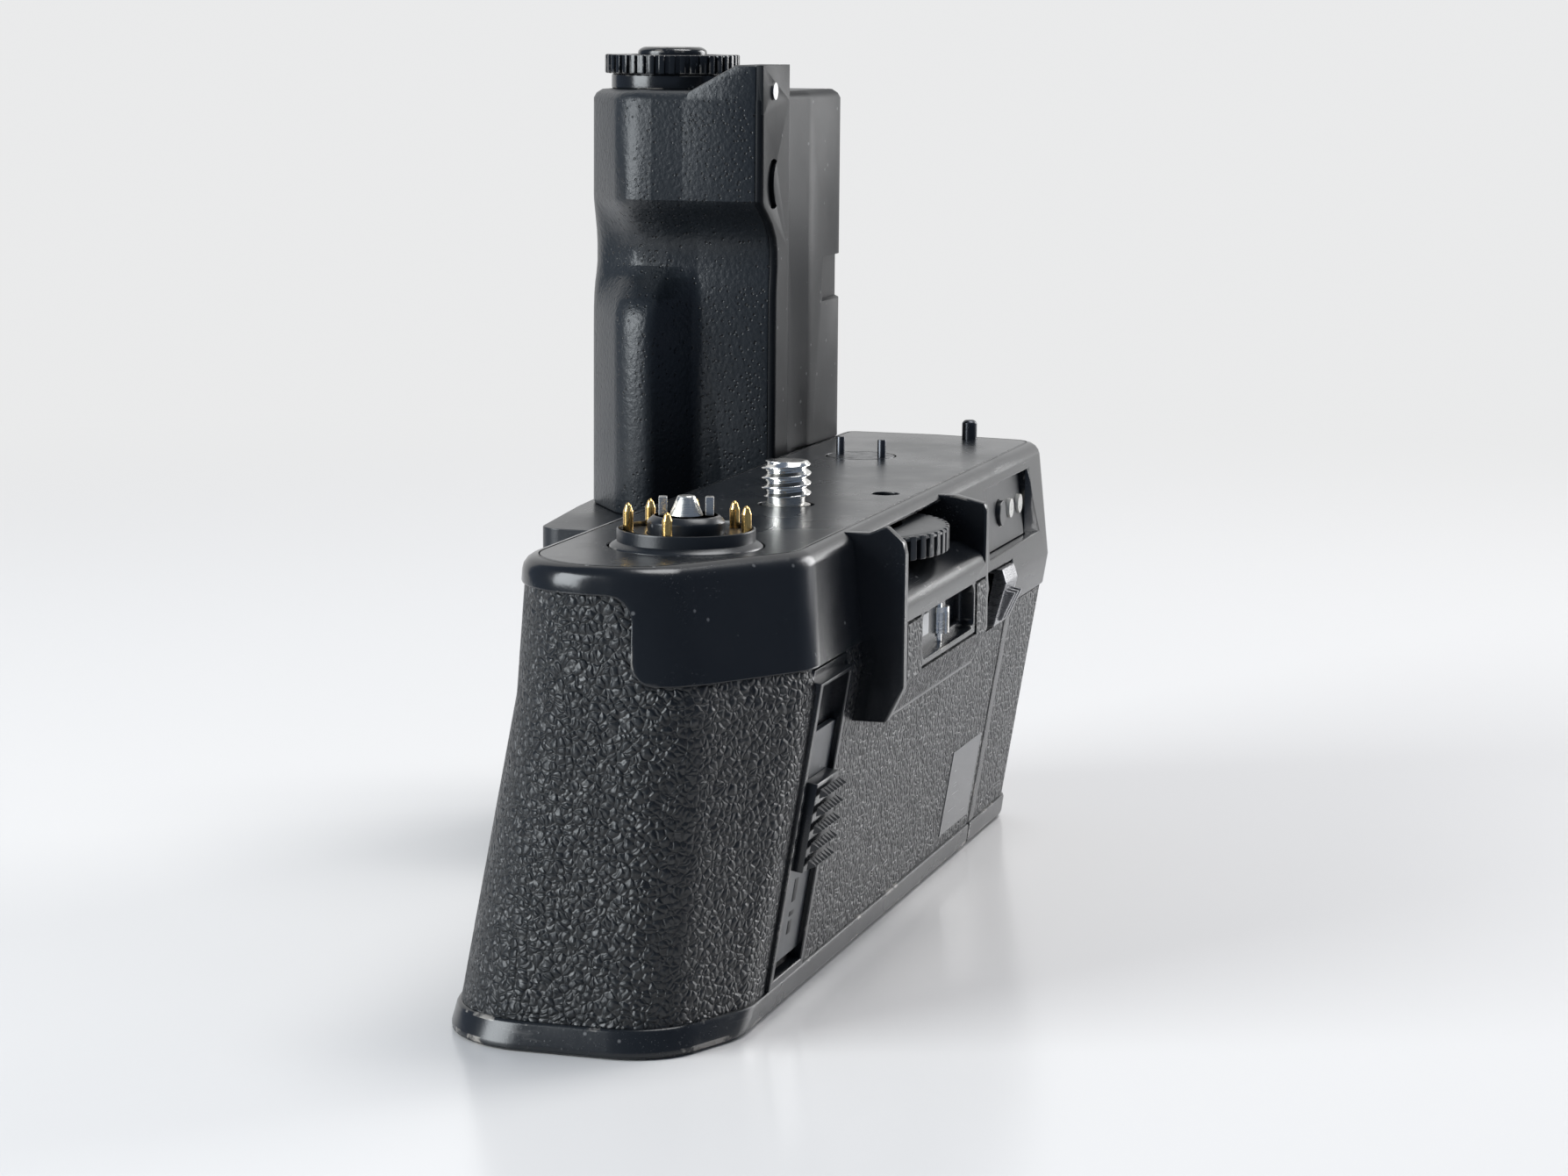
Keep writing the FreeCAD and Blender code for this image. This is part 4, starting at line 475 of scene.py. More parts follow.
def crinkle_grip():
    material, tree, shader, where = start_material("crinkle_grip", specular=0.45)
    skin = use_group(tree, CRINKLE, Vector=where, Scale=1500.0, Pits=0.34)
    patch = noise(tree, where, 30.0, 3.0)
    colour = mix_colours(tree, patch, grey(0.011, GRIP_TINT), grey(0.017, GRIP_TINT))
    # painted shade: each pit is darkened in colour
    colour = mix_colours(tree, skin["Pit"], colour, grey(0.006))
    feed(tree, shader, Base_Color=colour, Roughness=ramp(tree, patch, 0.3, 0.7, 0.34, 0.42),
         Normal=bump(tree, skin["Height"], STIPPLE_DEPTH))
    return material


keep(crinkle_grip=crinkle_grip())

# %% [markdown]
# ### Metals
# Screw, turret, pins and coupler are turned or plated. Fine lines round the axis come from noise
# that is squeezed along Z, and patches of tarnish dull them, as on parts that fingers touch.

# %% Metals
TURNING_DEPTH = 0.005 * MM


def metal(name, colour, gloss, tarnish=0.25, stain=(0.18, 0.13, 0.08)):
    """Turned or plated metal: fine turning lines, patches of tarnish and slight colour change."""
    material, tree, shader, where = start_material(name, metallic=1.0)
    lines = put(tree, "ShaderNodeMapping", {"Vector": where, "Scale": (1.0, 1.0, 14.0)}).outputs[0]
    lines = noise(tree, lines, 500.0, 3.0, 0.7)
    patch = noise(tree, where, 420.0, 4.0, 0.65)
    dull = math_node(tree, "MULTIPLY", ramp(tree, patch, 0.5, 0.75), tarnish)
    tone = mix_colours(tree, dull, colour + (1.0,), stain + (1.0,))
    darker = tuple(c * 0.7 for c in colour) + (1.0,)
    tone = mix_colours(tree, ramp(tree, lines, 0.3, 0.7, 0.0, 0.25), tone, darker)
    rough = ramp(tree, lines, 0.3, 0.7, gloss, gloss + 0.12)
    rough = math_node(tree, "ADD", rough, math_node(tree, "MULTIPLY", dull, 0.4))
    feed(tree, shader, Base_Color=tone, Roughness=rough, Normal=bump(tree, lines, TURNING_DEPTH))
    return material


# %% Seven metals
keep(chrome=metal("chrome", (0.82, 0.81, 0.78), 0.10),
     nickel=metal("nickel", (0.62, 0.61, 0.58), 0.24, tarnish=0.6),
     steel=metal("steel", (0.50, 0.50, 0.50), 0.28),
     gold=metal("gold", (0.86, 0.56, 0.20), 0.16, tarnish=0.3, stain=(0.45, 0.22, 0.06)),
     grey_metal=metal("grey_metal", (0.26, 0.26, 0.27), 0.22, tarnish=0.5, stain=(0.06, 0.06, 0.06)),
     dark_steel=metal("dark_steel", (0.075, 0.078, 0.085), 0.26, tarnish=0.5, stain=(0.02, 0.02, 0.02)),
     brass=metal("brass", (0.70, 0.55, 0.28), 0.3))

# %% [markdown]
# ### Lamps, window, board and cells
# The two lamps are milky caps and the counter's window is a pale sheet. The board is inside the
# body, and the cells show only when the holder is out. Soft clouds of tone are enough for each.

# %% Milky lamps, clear window, board and cells
CLOUD_DEPTH = 0.02 * MM


def milky():
    """Cloudy pale plastic of the lamp caps."""
    material, tree, shader, where = start_material("milky", specular=0.5, coat=0.4)
    cloud = noise(tree, where, 600.0, 3.0)
    colour = mix_colours(tree, cloud, (0.60, 0.58, 0.52, 1.0), (0.82, 0.80, 0.74, 1.0))
    feed(tree, shader, Base_Color=colour, Roughness=ramp(tree, cloud, 0.3, 0.7, 0.2, 0.35))
    return material


def tinted(name, low, high, gloss):
    """Plain finish whose colour drifts between two tones."""
    material, tree, shader, where = start_material(name)
    cloud = noise(tree, where, 120.0, 4.0, 0.6)
    colour = mix_colours(tree, cloud, low + (1.0,), high + (1.0,))
    feed(tree, shader, Base_Color=colour, Roughness=ramp(tree, cloud, 0.3, 0.7, gloss - 0.08, gloss + 0.08),
         Normal=bump(tree, noise(tree, where, 1500.0), CLOUD_DEPTH))
    return material


keep(lamp=milky(),
     clear=tinted("clear", (0.42, 0.42, 0.42), (0.52, 0.52, 0.51), 0.28),
     board=tinted("board", (0.02, 0.10, 0.04), (0.04, 0.16, 0.06), 0.4),
     cell=tinted("cell", (0.10, 0.10, 0.11), (0.16, 0.16, 0.17), 0.35))

# %% [markdown]
# ### Paint the solids
# Every solid gets the finish of its slot first, so nothing stays bare. The outer ones are replaced
# by softer copies further down.

# %% Paint every CAD node


def paint(obj, material):
    obj.data.materials.clear()
    obj.data.materials.append(material)
    return obj


for name, node in nodes.items():
    paint(node, FINISH[slot_of_node[name]])
print("painted", len(nodes))

# %% [markdown]
# ### The sheet's finish
# White card lit by lamps would fade into grey far from the object. So near the object it is real
# card, which takes the shadow and the mirror image, and further off it turns to an even pale tone
# that the camera and the mirror rays see, but that lights nothing.

# %% Floor finish
SHEET_TINT = (1.0, 0.975, 0.95)
FADE_FROM, FADE_TO = 0.22, 0.62


def paper_finish():
    """Real paper round the object, and an even pale tone further off, where no shadow falls."""
    material, tree, shader, where = start_material("paper", roughness=0.20, specular=0.4)
    cloud = noise(tree, where, 2.0, 2.0)
    colour = mix_colours(tree, cloud, grey(0.79, SHEET_TINT), grey(0.82, SHEET_TINT))
    feed(tree, shader, Base_Color=colour)
    away = put(tree, "ShaderNodeVectorMath", {0: where}, operation="LENGTH").outputs["Value"]
    far = ramp(tree, away, FADE_FROM, FADE_TO)
    rays = put(tree, "ShaderNodeLightPath").outputs
    seen = math_node(tree, "MAXIMUM", rays["Is Camera Ray"], rays["Is Transmission Ray"])
    seen = math_node(tree, "MAXIMUM", seen, rays["Is Glossy Ray"])
    glow = put(tree, "ShaderNodeEmission", {"Color": grey(0.83, (0.99, 0.995, 1.0)), "Strength": 1.0})
    both = put(tree, "ShaderNodeMixShader", {0: math_node(tree, "MULTIPLY", far, seen),
                                             1: shader.outputs[0], 2: glow.outputs[0]})
    end = next(n for n in tree.nodes if n.bl_idname == "ShaderNodeOutputMaterial")
    tree.links.new(both.outputs[0], end.inputs["Surface"])
    return material


paint(paper, paper_finish())
print("sheet painted from", FADE_FROM, "to", FADE_TO, "m")

# %% [markdown]
# ## Softened edges
# No moulded or painted edge is perfectly sharp: each catches a thin line of light. A shader could
# fake the line, but the mesh itself would stay sharp. So a copy of the solid is merged, its flat
# faces are joined, and a narrow bevel is cut along every sharp edge that points outwards. The
# bevel's faces are marked in an attribute, so a finish can show wear on them, together with a
# painted highlight along the edge.

# %% Mesh helpers
WELD = 0.002 * MM
FLAT_ANGLE = math.radians(0.3)
CREASE_ANGLE = math.radians(35)


def past_box(points, low, high):
    """How far the furthest point lies outside a box; below zero when all are inside."""
    return max(max(low[i] - min(c[i] for c in points), max(c[i] for c in points) - high[i])
               for i in range(3))


def plain_mesh(piece):
    """Result of an object's modifiers as a plain mesh. The modifiers are taken off."""
    mesh = bpy.data.meshes.new_from_object(piece.evaluated_get(bpy.context.evaluated_depsgraph_get()))
    piece.modifiers.clear()
    return mesh


print("defined past_box and plain_mesh")

# %% Bevel of the sharp edges


def bevelled(mesh, width, angle, clamp):
    """Welds a mesh and cuts a narrow bevel, marked as edge, along its sharp convex edges."""
    work = bmesh.new()
    work.from_mesh(mesh)
    bmesh.ops.remove_doubles(work, verts=work.verts, dist=WELD)
    bmesh.ops.dissolve_limit(work, angle_limit=FLAT_ANGLE, verts=work.verts, edges=work.edges)
    limit = math.radians(angle)
    sharp = [e for e in work.edges
             if len(e.link_faces) == 2 and e.calc_face_angle(0.0) > limit and e.is_convex]
    mark = work.faces.layers.float.new("edge")
    if width:
        cut = bmesh.ops.bevel(work, geom=sharp, offset=width * MM, offset_type="OFFSET", segments=2,
                              profile=0.5, affect="EDGES", clamp_overlap=clamp)
        for face in cut["faces"]:
            face[mark] = 1.0
    for edge in work.edges:
        edge.smooth = len(edge.link_faces) != 2 or edge.calc_face_angle(0.0) < CREASE_ANGLE
    for face in work.faces:
        face.smooth = True
    work.to_mesh(mesh)
    work.free()
    return mesh


print("defined bevelled")

# %% The softened copy


def soften(name, width, angle=30.0, flat=True, finish=None, clamp=False):
    """Copy of a CAD node with small rounds along its sharp edges, standing for the node."""
    piece = show(name + "_soft", bevelled(nodes[name].data.copy(), width, angle, clamp))
    if flat:
        piece.modifiers.new("even", "WEIGHTED_NORMAL").keep_sharp = True
    piece.data = plain_mesh(piece)
    paint(piece, FINISH[finish or slot_of_node[name]])
    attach(piece, body_of_node[name])
    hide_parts(name)
    low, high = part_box(name)
    out = past_box([v.co for v in piece.data.vertices], low, high)
    print("softened", name, len(piece.data.polygons), "past its solid by mm", round(out / MM, 3))


print("defined soften")

# %% [markdown]
# ### Which edges are soft
# Each outer piece gets the edge width, in millimetres, that its real one shows: a die-cast cap is
# rounder than a stamped plate. The grip shells are curved, so only edges above 50 degrees are cut
# there. Leather has no hard edge, so its width is 0 and only its shading is made smooth.

# %% Soften the outer pieces
EDGE_WIDTHS = {
    "upper_housing": 0.30, "battery_cap": 0.45, "body_shell": 0.20,
    "slider_guide": 0.20, "thumbwheel": 0.15, "contact_base": 0.20,
    "rewind_turret": 0.15, "rewind_fork": 0.15,
    "selector_ring": 0.20, "shutter_button": 0.30, "dial_collar": 0.25, "lamp_panel": 0.12,
    "check_button": 0.2, "counter_window": 0.2,
}
for name, width in EDGE_WIDTHS.items():
    soften(name, width)
for name, width, finish in (("grip_front", 0.5, "crinkle_grip"), ("grip_rear", 0.2, "rear_black"),
                            ("leather_near", 0.0, "leather"), ("cap_leather", 0.0, "leather")):
    soften(name, width, angle=50.0, flat=False, finish=finish, clamp=name == "grip_rear")
soften("front_housing", 0.6, clamp=True)
# the slider plate's paler grey is a painted reflection
soften("rewind_slider", 0.18, finish="slider_grey")
for name, width, finish in (("wind_coupler", 0.12, "dark_steel"), ("rewind_pin", 0.15, "dark_steel"),
                            ("rewind_lever", 0.15, "grey_metal"), ("top_plate", 0.12, "plate_black"),
                            ("bottom_cover", 0.45, "base_black")):
    soften(name, width, finish=finish)

# %% [markdown]
# ## Pieces that repeat
# The screw's thread and the slider's teeth follow a rule, so a Geometry Nodes tree makes each of
# them from a few named sizes. The tree's result is turned into a plain mesh and moved to its place.

# %% Tree helpers


def new_tree(name, sizes):
    """Empty geometry tree with its named sizes, a material input and one geometry output."""
    tree = bpy.data.node_groups.new(name, "GeometryNodeTree")
    tree.interface.new_socket("Geometry", in_out="OUTPUT", socket_type="NodeSocketGeometry")
    for key, value in sizes.items():
        kind = "NodeSocketInt" if isinstance(value, int) else "NodeSocketFloat"
        tree.interface.new_socket(key, in_out="INPUT", socket_type=kind).default_value = value
    tree.interface.new_socket("Material", in_out="INPUT", socket_type="NodeSocketMaterial")
    return tree, tree.nodes.new("NodeGroupInput").outputs, tree.nodes.new("NodeGroupOutput").inputs


def finish_tree(tree, geometry, inp, out):
    """Ends a tree: instances become real, and the material is set."""
    solid = put(tree, "GeometryNodeRealizeInstances", {"Geometry": geometry}).outputs[0]
    dressed = put(tree, "GeometryNodeSetMaterial", {"Geometry": solid, "Material": inp["Material"]})
    tree.links.new(dressed.outputs[0], out["Geometry"])
    return tree


print("defined new_tree and finish_tree")

# %% Weld helper


def weld(mesh, distance, round_below=None):
    """Merges doubles and turns the faces outwards. Edges below the given angle shade as round."""
    work = bmesh.new()
    work.from_mesh(mesh)
    bmesh.ops.remove_doubles(work, verts=work.verts, dist=distance)
    bmesh.ops.recalc_face_normals(work, faces=work.faces)
    if round_below:
        for edge in work.edges:
            edge.smooth = len(edge.link_faces) == 2 and edge.calc_face_angle(0.0) < round_below
        for face in work.faces:
            face.smooth = True
    work.to_mesh(mesh)
    work.free()


print("defined weld")

# %% Grow helper
GROWN_WELD = 0.001 * MM


def grow(name, tree, sizes, place, body, finish):
    """Runs a tree, makes its result a plain mesh at its place, and lets it ride on a body."""
    piece = show(name, bpy.data.meshes.new(name))
    run = piece.modifiers.new("run", "NODES")
    run.node_group = tree
    wanted = {**sizes, "Material": FINISH[finish]}
    for item in tree.interface.items_tree:
        if item.in_out == "INPUT":
            run[item.identifier] = wanted[item.name]
    mesh = plain_mesh(piece)
    mesh.transform(place)
    weld(mesh, GROWN_WELD)
    piece.data = mesh
    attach(piece, body)
    print(name, "faces", len(mesh.polygons))


print("defined grow")

# %% Box of a node


def centre_of(node):
    """Middle, low corner and high corner of a node's box."""
    low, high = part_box(node)
    return (low + high) / 2, low, high


screw_middle, screw_low, screw_high = centre_of("camera_screw")
print("screw from", round(screw_low.z / MM, 2), "to", round(screw_high.z / MM, 2), "mm")

# %% [markdown]
# ### The attaching screw
# A 1/4 inch camera thread: a ridge that climbs 1.27 mm in each turn. A profile could be swept along
# a helix, but its ends would stay open. Here a flat grid is rolled into a tube instead, and the
# thread is a triangle wave of the height less the angle, cut flat at crest and root. The first and
# last rows close to a point in the middle, so the screw is a closed solid.

# %% Sizes of the thread
THREAD = {"Radius": 3.175 * MM, "Depth": 0.72 * MM, "Height": 4.5 * MM, "Pitch": 1.27 * MM,
          "Chamfer": 0.5 * MM}
THREAD_FROM = screw_high.z - THREAD["Height"]
# faces of the grid round the axis and along it
AROUND, ALONG = 72, 130
# shares of the wave where crest and root end, and of the height that closes each end
CREST, ROOT = 0.12, 0.88
LIP_SHARE = 0.02
print("thread from", round(THREAD_FROM / MM, 2), "mm, turns", round(THREAD["Height"] / THREAD["Pitch"], 2))

# %% Thread tree


def ramp_math(tree, value, low, high):
    """Straight ramp from 0 at low to 1 at high, for geometry trees."""
    return math_node(tree, "DIVIDE", math_node(tree, "SUBTRACT", value, low), high - low, clamp=True)


def thread_tree():
    """Threaded rod along Z, from z = 0 up to its height."""
    tree, inp, out = new_tree("screw_thread", THREAD)
    sheet = put(tree, "GeometryNodeMeshGrid", {"Size X": 1.0, "Size Y": 1.0,
                                               "Vertices X": AROUND + 1, "Vertices Y": ALONG + 1})
    position = put(tree, "GeometryNodeInputPosition").outputs[0]
    place = put(tree, "ShaderNodeSeparateXYZ", {0: position}).outputs
    turn = math_node(tree, "ADD", place["X"], 0.5)
    along = math_node(tree, "ADD", place["Y"], 0.5)
    lip = math_node(tree, "MULTIPLY", inp["Height"], LIP_SHARE)
    span = math_node(tree, "ADD", inp["Height"], math_node(tree, "MULTIPLY", lip, 2.0))
    raw = math_node(tree, "SUBTRACT", math_node(tree, "MULTIPLY", along, span), lip)
    z = math_node(tree, "MINIMUM", math_node(tree, "MAXIMUM", raw, 0.0), inp["Height"])
    ends = math_node(tree, "MINIMUM", along, math_node(tree, "SUBTRACT", 1.0, along))
    ends = math_node(tree, "DIVIDE", math_node(tree, "MULTIPLY", ends, span), lip, clamp=True)
    wave = math_node(tree, "SUBTRACT", math_node(tree, "DIVIDE", z, inp["Pitch"]), turn)
    wave = math_node(tree, "MULTIPLY", math_node(tree, "FRACT", wave), 2.0)
    wave = math_node(tree, "ABSOLUTE", math_node(tree, "SUBTRACT", wave, 1.0))
    wave = ramp_math(tree, wave, CREST, ROOT)
    radius = math_node(tree, "SUBTRACT", inp["Radius"], math_node(tree, "MULTIPLY", wave, inp["Depth"]))
    top_gap = math_node(tree, "SUBTRACT", inp["Height"], z)
    limit = math_node(tree, "ADD", math_node(tree, "SUBTRACT", inp["Radius"], inp["Chamfer"]), top_gap)
    radius = math_node(tree, "MULTIPLY", math_node(tree, "MINIMUM", radius, limit), ends)
    angle = math_node(tree, "MULTIPLY", turn, 2 * math.pi)
    x = math_node(tree, "MULTIPLY", radius, math_node(tree, "COSINE", angle))
    y = math_node(tree, "MULTIPLY", radius, math_node(tree, "SINE", angle))
    rolled = put(tree, "GeometryNodeSetPosition", {
        "Geometry": sheet.outputs["Mesh"],
        "Position": put(tree, "ShaderNodeCombineXYZ", {0: x, 1: y, 2: z}).outputs[0]}).outputs[0]
    soft = put(tree, "GeometryNodeSetShadeSmooth", {"Geometry": rolled}).outputs[0]
    return finish_tree(tree, soft, inp, out)


# %% Cut the thread
grow("screw_thread", thread_tree(), THREAD,
     Matrix.Translation((screw_middle.x, screw_middle.y, THREAD_FROM)), "attach_screw", "chrome")

# %% [markdown]
# ### The shank of the screw
# Below the thread the stud is a plain pin with a narrow neck, where the cutting tool ran out. Such a
# piece is turned on a lathe, so its outline is turned here too, and both ends close on the axis.

# %% Lathe helper
TURNED_WELD = 0.0001 * MM
TURNED_ROUND = math.radians(40)


def turned(name, outline, sides=64):
    """Closed solid from (radius, height) points about the Z axis. The outline starts and ends at
    radius 0, or at the same point, which makes a ring."""
    mesh = bpy.data.meshes.new(name)
    points = [(r * math.cos(a), r * math.sin(a), z) for r, z in outline
              for a in (2 * math.pi * i / sides for i in range(sides))]
    faces = [(k + i, k + (i + 1) % sides, k + sides + (i + 1) % sides, k + sides + i)
             for k in range(0, (len(outline) - 1) * sides, sides) for i in range(sides)]
    mesh.from_pydata(points, [], faces)
    weld(mesh, TURNED_WELD, TURNED_ROUND)
    return show(name, mesh)


print("defined turned")

# %% Settle helper


def settle(piece, place, body, finish, slot_name, *replaced):
    """Moves a mesh to its place, gives it its finish and lets it ride on a body."""
    piece.data.transform(place)
    paint(piece, FINISH[finish])
    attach(piece, body)
    if replaced:
        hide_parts(*replaced)
    return piece


print("defined settle")

# %% Shank of the screw
SHANK_R, FOOT_R, NECK_R = 3.1 * MM, 2.9 * MM, 2.4 * MM
FOOT_END = screw_low.z + 0.2 * MM
SHANK_END = THREAD_FROM - 1.1 * MM
NECK_FROM = THREAD_FROM - 0.9 * MM
NECK_END = THREAD_FROM + 0.5 * MM
shank = turned("screw_shank", [(0, screw_low.z), (FOOT_R, screw_low.z), (SHANK_R, FOOT_END),
                               (SHANK_R, SHANK_END), (NECK_R, NECK_FROM), (NECK_R, NECK_END),
                               (0, NECK_END)])
settle(shank, Matrix.Translation((screw_middle.x, screw_middle.y, 0)), "attach_screw", "nickel",
       "chrome", "camera_screw")
print("shank faces", len(shank.data.polygons))

# %% [markdown]
# ### The rim of the thumbwheel
# The ribs of the wheel end under a plain rounded disc edge. It could be a bevel on the solid, but
# that would soften the ribs too. So a flat ring is turned from a short outline and laid on top.

# %% Wheel rim
wheel_middle, wheel_low, wheel_high = centre_of("thumbwheel")
WHEEL_R = (wheel_high.x - wheel_low.x) / 2
# how far in from the wheel's edge, and how far above its top, in millimetres
RIM_OUTLINE = ((6, -0.7), (0.3, -0.7), (0.05, -0.5), (0.1, -0.25), (0.6, 0.02), (1.1, 0.08), (6, 0.08),
               (6, -0.7))
RIM_SIDES = 96
rim_points = [(WHEEL_R - inset * MM, wheel_high.z + rise * MM) for inset, rise in RIM_OUTLINE]
rim = turned("wheel_rim", rim_points, RIM_SIDES)
settle(rim, Matrix.Translation((wheel_middle.x, wheel_middle.y, 0)), "attach_wheel", "black_plastic",
       "black_plastic")
print("rim faces", len(rim.data.polygons))

# %% [markdown]
# ### The thumb block of the slider
# Five rows of small pyramids on a raised block give the thumb its grip. One pyramid is instanced on
# a grid of points, because the rows are all alike, and the block is laid on the sloping back with
# one matrix. In that matrix's own terms X runs along the body, Y up the slope and Z out of it.

# %% Teeth tree
TEETH = {"Columns": 7, "Rows": 5, "Column pitch": 1.3 * MM, "Row pitch": 2.2 * MM,
         "Foot": 0.8 * MM, "Tip": 0.12 * MM, "Height": 0.9 * MM}


def teeth_tree():
    """Grid of small pyramids. Foot and tip are radii, out to the corners."""
    tree, inp, out = new_tree("thumb_teeth", TEETH)
    gaps_x, gaps_y = (math_node(tree, "SUBTRACT", inp[count], 1.0) for count in ("Columns", "Rows"))
    span_x = math_node(tree, "MULTIPLY", gaps_x, inp["Column pitch"])
    span_y = math_node(tree, "MULTIPLY", gaps_y, inp["Row pitch"])
    spots = put(tree, "GeometryNodeMeshGrid", {
        "Size X": span_x, "Size Y": span_y,
        "Vertices X": inp["Columns"], "Vertices Y": inp["Rows"]}).outputs["Mesh"]
    spike = put(tree, "GeometryNodeMeshCone", {
        "Vertices": 4, "Radius Top": inp["Tip"], "Radius Bottom": inp["Foot"],
        "Depth": inp["Height"]}).outputs["Mesh"]
    square = put(tree, "GeometryNodeTransform", {
        "Geometry": spike, "Rotation": (0.0, 0.0, math.radians(45))}).outputs[0]
    laid = put(tree, "GeometryNodeInstanceOnPoints", {"Points": spots, "Instance": square}).outputs[0]
    return finish_tree(tree, laid, inp, out)


print("teeth", TEETH["Columns"] * TEETH["Rows"])

# %% Box helper
BOX_ROUND = 0.15 * MM


def box_mesh(name, low, high):
    """Box between two corners, with a small round on every edge."""
    mesh = bpy.data.meshes.new(name)
    work = bmesh.new()
    bmesh.ops.create_cube(work, size=1.0)
    for v in work.verts:
        v.co = Vector([low[i] + (v.co[i] + 0.5) * (high[i] - low[i]) for i in range(3)])
    bmesh.ops.bevel(work, geom=list(work.edges), offset=BOX_ROUND, offset_type="OFFSET", segments=2,
                    profile=0.5, affect="EDGES", clamp_overlap=True)
    work.to_mesh(mesh)
    work.free()
    mesh.shade_smooth()
    return mesh


print("defined box_mesh")

# %% Slope of the back
# millimetres: how far the lower back leans out and over what height, how far its foot stands in from
# the back edge and above the table, and how far that edge is from the origin
LEAN_OUT, LEAN_HEIGHT = 6.0, 36.5
FOOT_IN, FOOT_UP = 3.1, 3.5
ORIGIN_FROM_BACK = 20.7
SLOPE = math.atan2(LEAN_OUT, LEAN_HEIGHT)
SLOPE_FOOT = Vector((0.0, (FOOT_IN - ORIGIN_FROM_BACK) * MM, FOOT_UP * MM))
lean, rise = math.sin(SLOPE), math.cos(SLOPE)
tilt = Matrix(((1, 0, 0), (0, -lean, -rise), (0, rise, -lean))).to_4x4()
slope_frame = Matrix.Translation(SLOPE_FOOT) @ tilt
plate_low, plate_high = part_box("rewind_slider")
thumb_x = (plate_low.x + plate_high.x) / 2
print("slope", round(math.degrees(SLOPE), 2), "degrees")

# %% Thumb block and its teeth
BLOCK_HALF, BLOCK_FOOT, BLOCK_HEAD = 4.6 * MM, 14.6 * MM, 25.6 * MM
BLOCK_SUNK, BLOCK_PROUD = -0.6 * MM, 1.1 * MM
TEETH_MIDDLE = (BLOCK_FOOT + BLOCK_HEAD) / 2
TEETH_UP = 1.5 * MM
block = show("thumb_block", box_mesh("thumb_block", (-BLOCK_HALF, BLOCK_FOOT, BLOCK_SUNK),
                                     (BLOCK_HALF, BLOCK_HEAD, BLOCK_PROUD)))
settle(block, slope_frame @ Matrix.Translation((thumb_x, 0, 0)), "rewind_slide", "black_plastic",
       "black_plastic", "slider_thumb")
grow("thumb_teeth", teeth_tree(), TEETH,
     slope_frame @ Matrix.Translation((thumb_x, TEETH_MIDDLE, TEETH_UP)),
     "rewind_slide", "black_plastic")

# %% [markdown]
# ### Marks on the slider
# Short dark bars under the thumb block show which way the slider goes. On the real plate they are
# printed. Here they are thin dark plates that stand 0.05 mm proud, with no letters on them.

# %% Marks on the slider
MARK_LOW, MARK_HIGH = -0.75 * MM, -0.55 * MM
# lower end, upper end and half the width, in millimetres
MARKS = ((9.7, 12.7, 0.80), (5.6, 7.4, 0.75), (7.9, 8.6, 0.95))
for i, (foot, head, half) in enumerate(MARKS):
    bar = box_mesh("slider_mark", (-half * MM, foot * MM, MARK_LOW), (half * MM, head * MM, MARK_HIGH))
    mark = show("slider_mark_%d" % (i + 1), bar)
    settle(mark, slope_frame @ Matrix.Translation((thumb_x, 0, 0)), "rewind_slide", "rear_black",
           "black_plastic")
print("marks", len(MARKS))

# %% [markdown]
# ### The bare label
# A thin smooth plate is glued on the leather of the back. Rays shot at the leather find its
# height, so the plate lies on it whatever its slope. It carries no print.

# %% Find the leather's surface
from mathutils.bvhtree import BVHTree

# millimetres: the origin's distance from the near end, and how far behind it each ray starts
ORIGIN_FROM_END = 73
BEHIND = 50
back_mesh = nodes["leather_back"].data
leather_skin = BVHTree.FromPolygons([v.co for v in back_mesh.vertices],
                                    [tuple(f.vertices) for f in back_mesh.polygons])


def on_back(x, z, proud):
    """Point on the leather, x millimetres from the near end and z above the table, lifted a bit."""
    start = Vector(((x - ORIGIN_FROM_END) * MM, -BEHIND * MM, z * MM))
    hit = leather_skin.ray_cast(start, Vector((0, 1, 0)))[0]
    return Vector((start.x, hit.y - proud * MM, start.z))


print("leather faces searched", len(back_mesh.polygons))

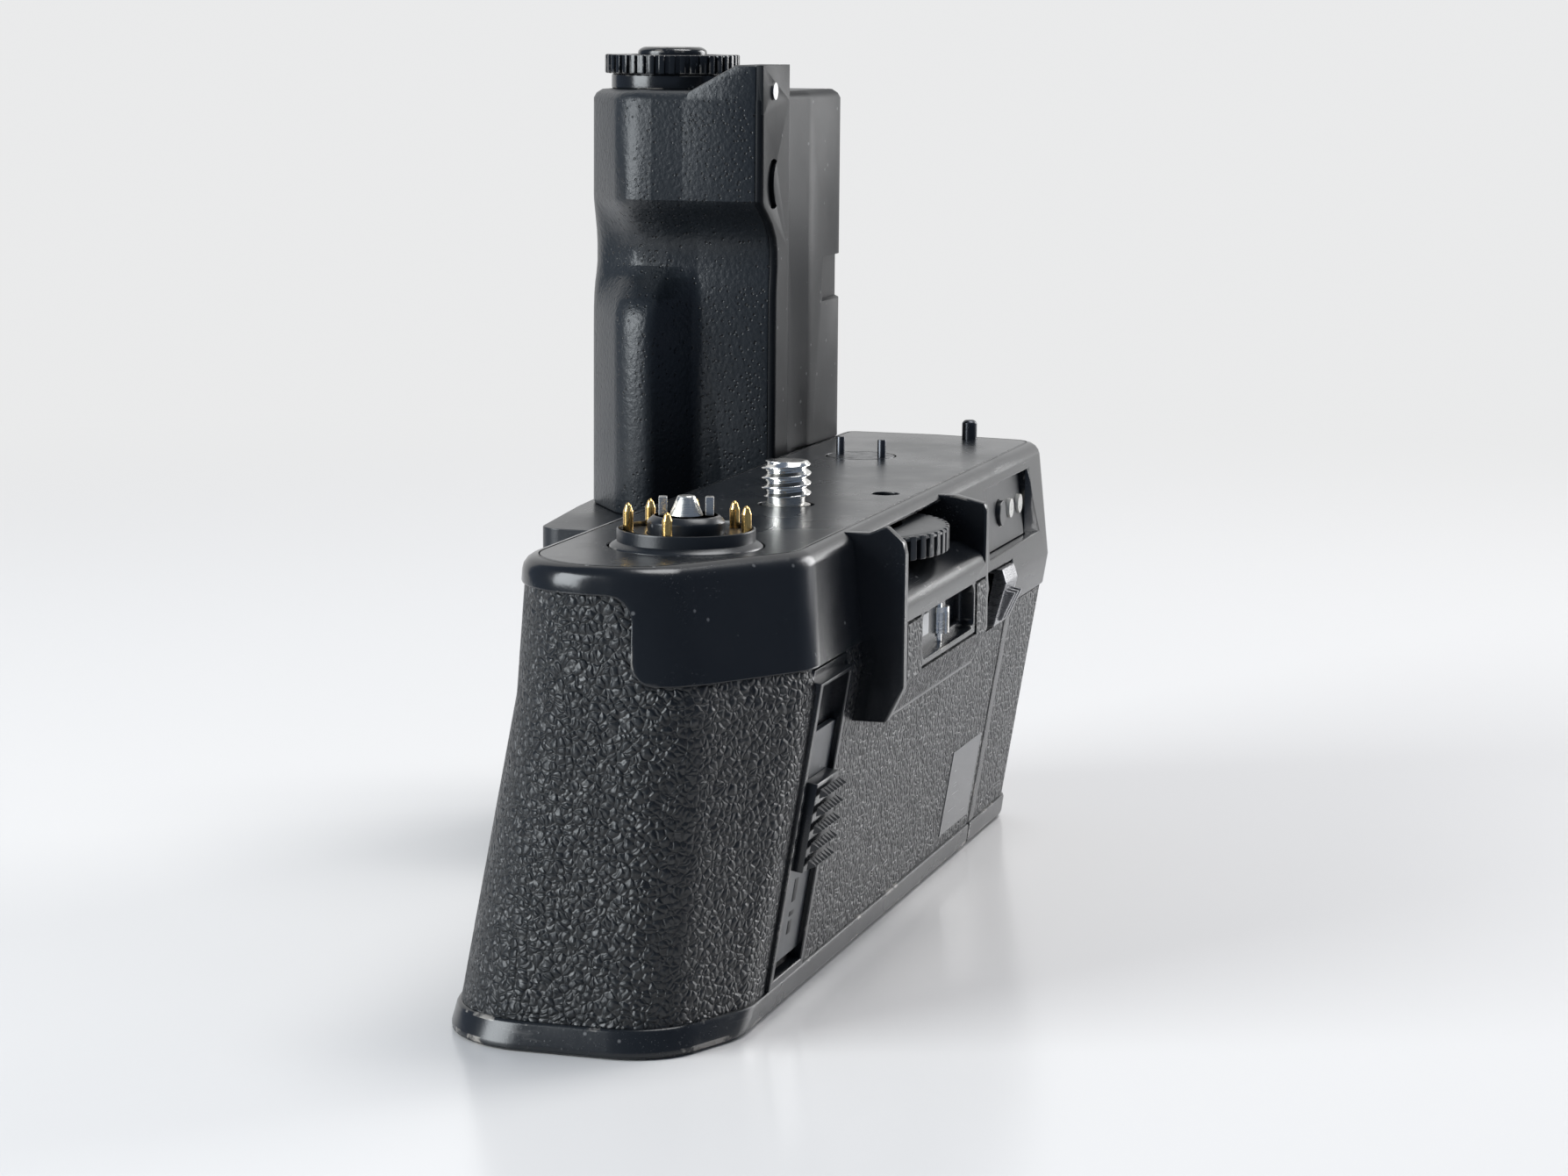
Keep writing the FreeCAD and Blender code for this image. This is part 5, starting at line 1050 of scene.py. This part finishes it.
# %% Lay the label
# millimetres: corners by distance from the near end and height, then lift of both faces
LABEL_CORNERS = ((100.5, 5.2), (116.6, 5.2), (116.6, 17.2), (100.5, 17.2))
PROUD, SUNK = 0.10, -0.15
outer = [on_back(x, z, PROUD) for x, z in LABEL_CORNERS]
inner = [on_back(x, z, SUNK) for x, z in LABEL_CORNERS]
rims = [(i, i + 4, (i + 1) % 4 + 4, (i + 1) % 4) for i in range(4)]
label = show("label", bpy.data.meshes.new("label"))
label.data.from_pydata(outer + inner, [], [(0, 1, 2, 3), (7, 6, 5, 4)] + rims)
settle(label, Matrix.Identity(4), "drive_body", "label", "gloss_black")
print("label", [round(v / MM, 1) for v in outer[0]], "to", [round(v / MM, 1) for v in outer[2]])

# %% [markdown]
# ## Light
# The photograph has a bright white room with dark gaps. Three soft lamps stand for it: one above,
# one at the left, low and slightly cool, that lights the near leather and draws the highlight down
# the grip's corner, and one behind at the right. They are area lamps, because glossy black shows
# the shape of whatever lights it.

# %% Lamps


def soft_light(name, place, size, power, tint=(1.0, 1.0, 1.0)):
    """Rectangular lamp that faces the middle of the body."""
    data = bpy.data.lights.new(name, "AREA")
    data.shape = "RECTANGLE"
    data.size, data.size_y = size
    data.energy = power
    data.color = tint
    lamp = show(name, data)
    aim = (BODY_MIDDLE - Vector(place)).to_track_quat("-Z", "Y").to_matrix().to_4x4()
    lamp.matrix_world = Matrix.Translation(place) @ aim
    print("lamp", name, power, "W")


BODY_MIDDLE = Vector((0.0, 0.0, 0.05))
soft_light("overhead", (0.20, -0.25, 1.05), (0.50, 0.50), 6.5)
soft_light("left", (-0.66, 0.72, 0.36), (0.60, 0.75), 14.0, (0.92, 0.97, 1.0))
soft_light("right", (0.95, -0.66, 0.40), (0.55, 0.65), 8.5)

# %% [markdown]
# ### The room
# The camera sees an even pale wall past the sheet. The surfaces are lit by a much dimmer, bluish
# room instead, which keeps the blacks black, with the slightly blue tone that they have.

# %% World
DIM_ROOM = (0.135, 0.17, 0.235, 1.0)
PALE_WALL = grey(0.85, (0.985, 0.99, 1.0))
world = bpy.data.worlds.new("room")
bpy.context.scene.world = world
world.use_nodes = True
room = world.node_tree
room.nodes.clear()
rays = put(room, "ShaderNodeLightPath").outputs
straight = math_node(room, "MAXIMUM", rays["Is Camera Ray"], rays["Is Transmission Ray"])
wall = mix_colours(room, straight, DIM_ROOM, PALE_WALL)
back = put(room, "ShaderNodeBackground", {"Color": wall, "Strength": 1.0})
put(room, "ShaderNodeOutputWorld", {"Surface": back.outputs[0]})
print("world nodes", len(room.nodes))
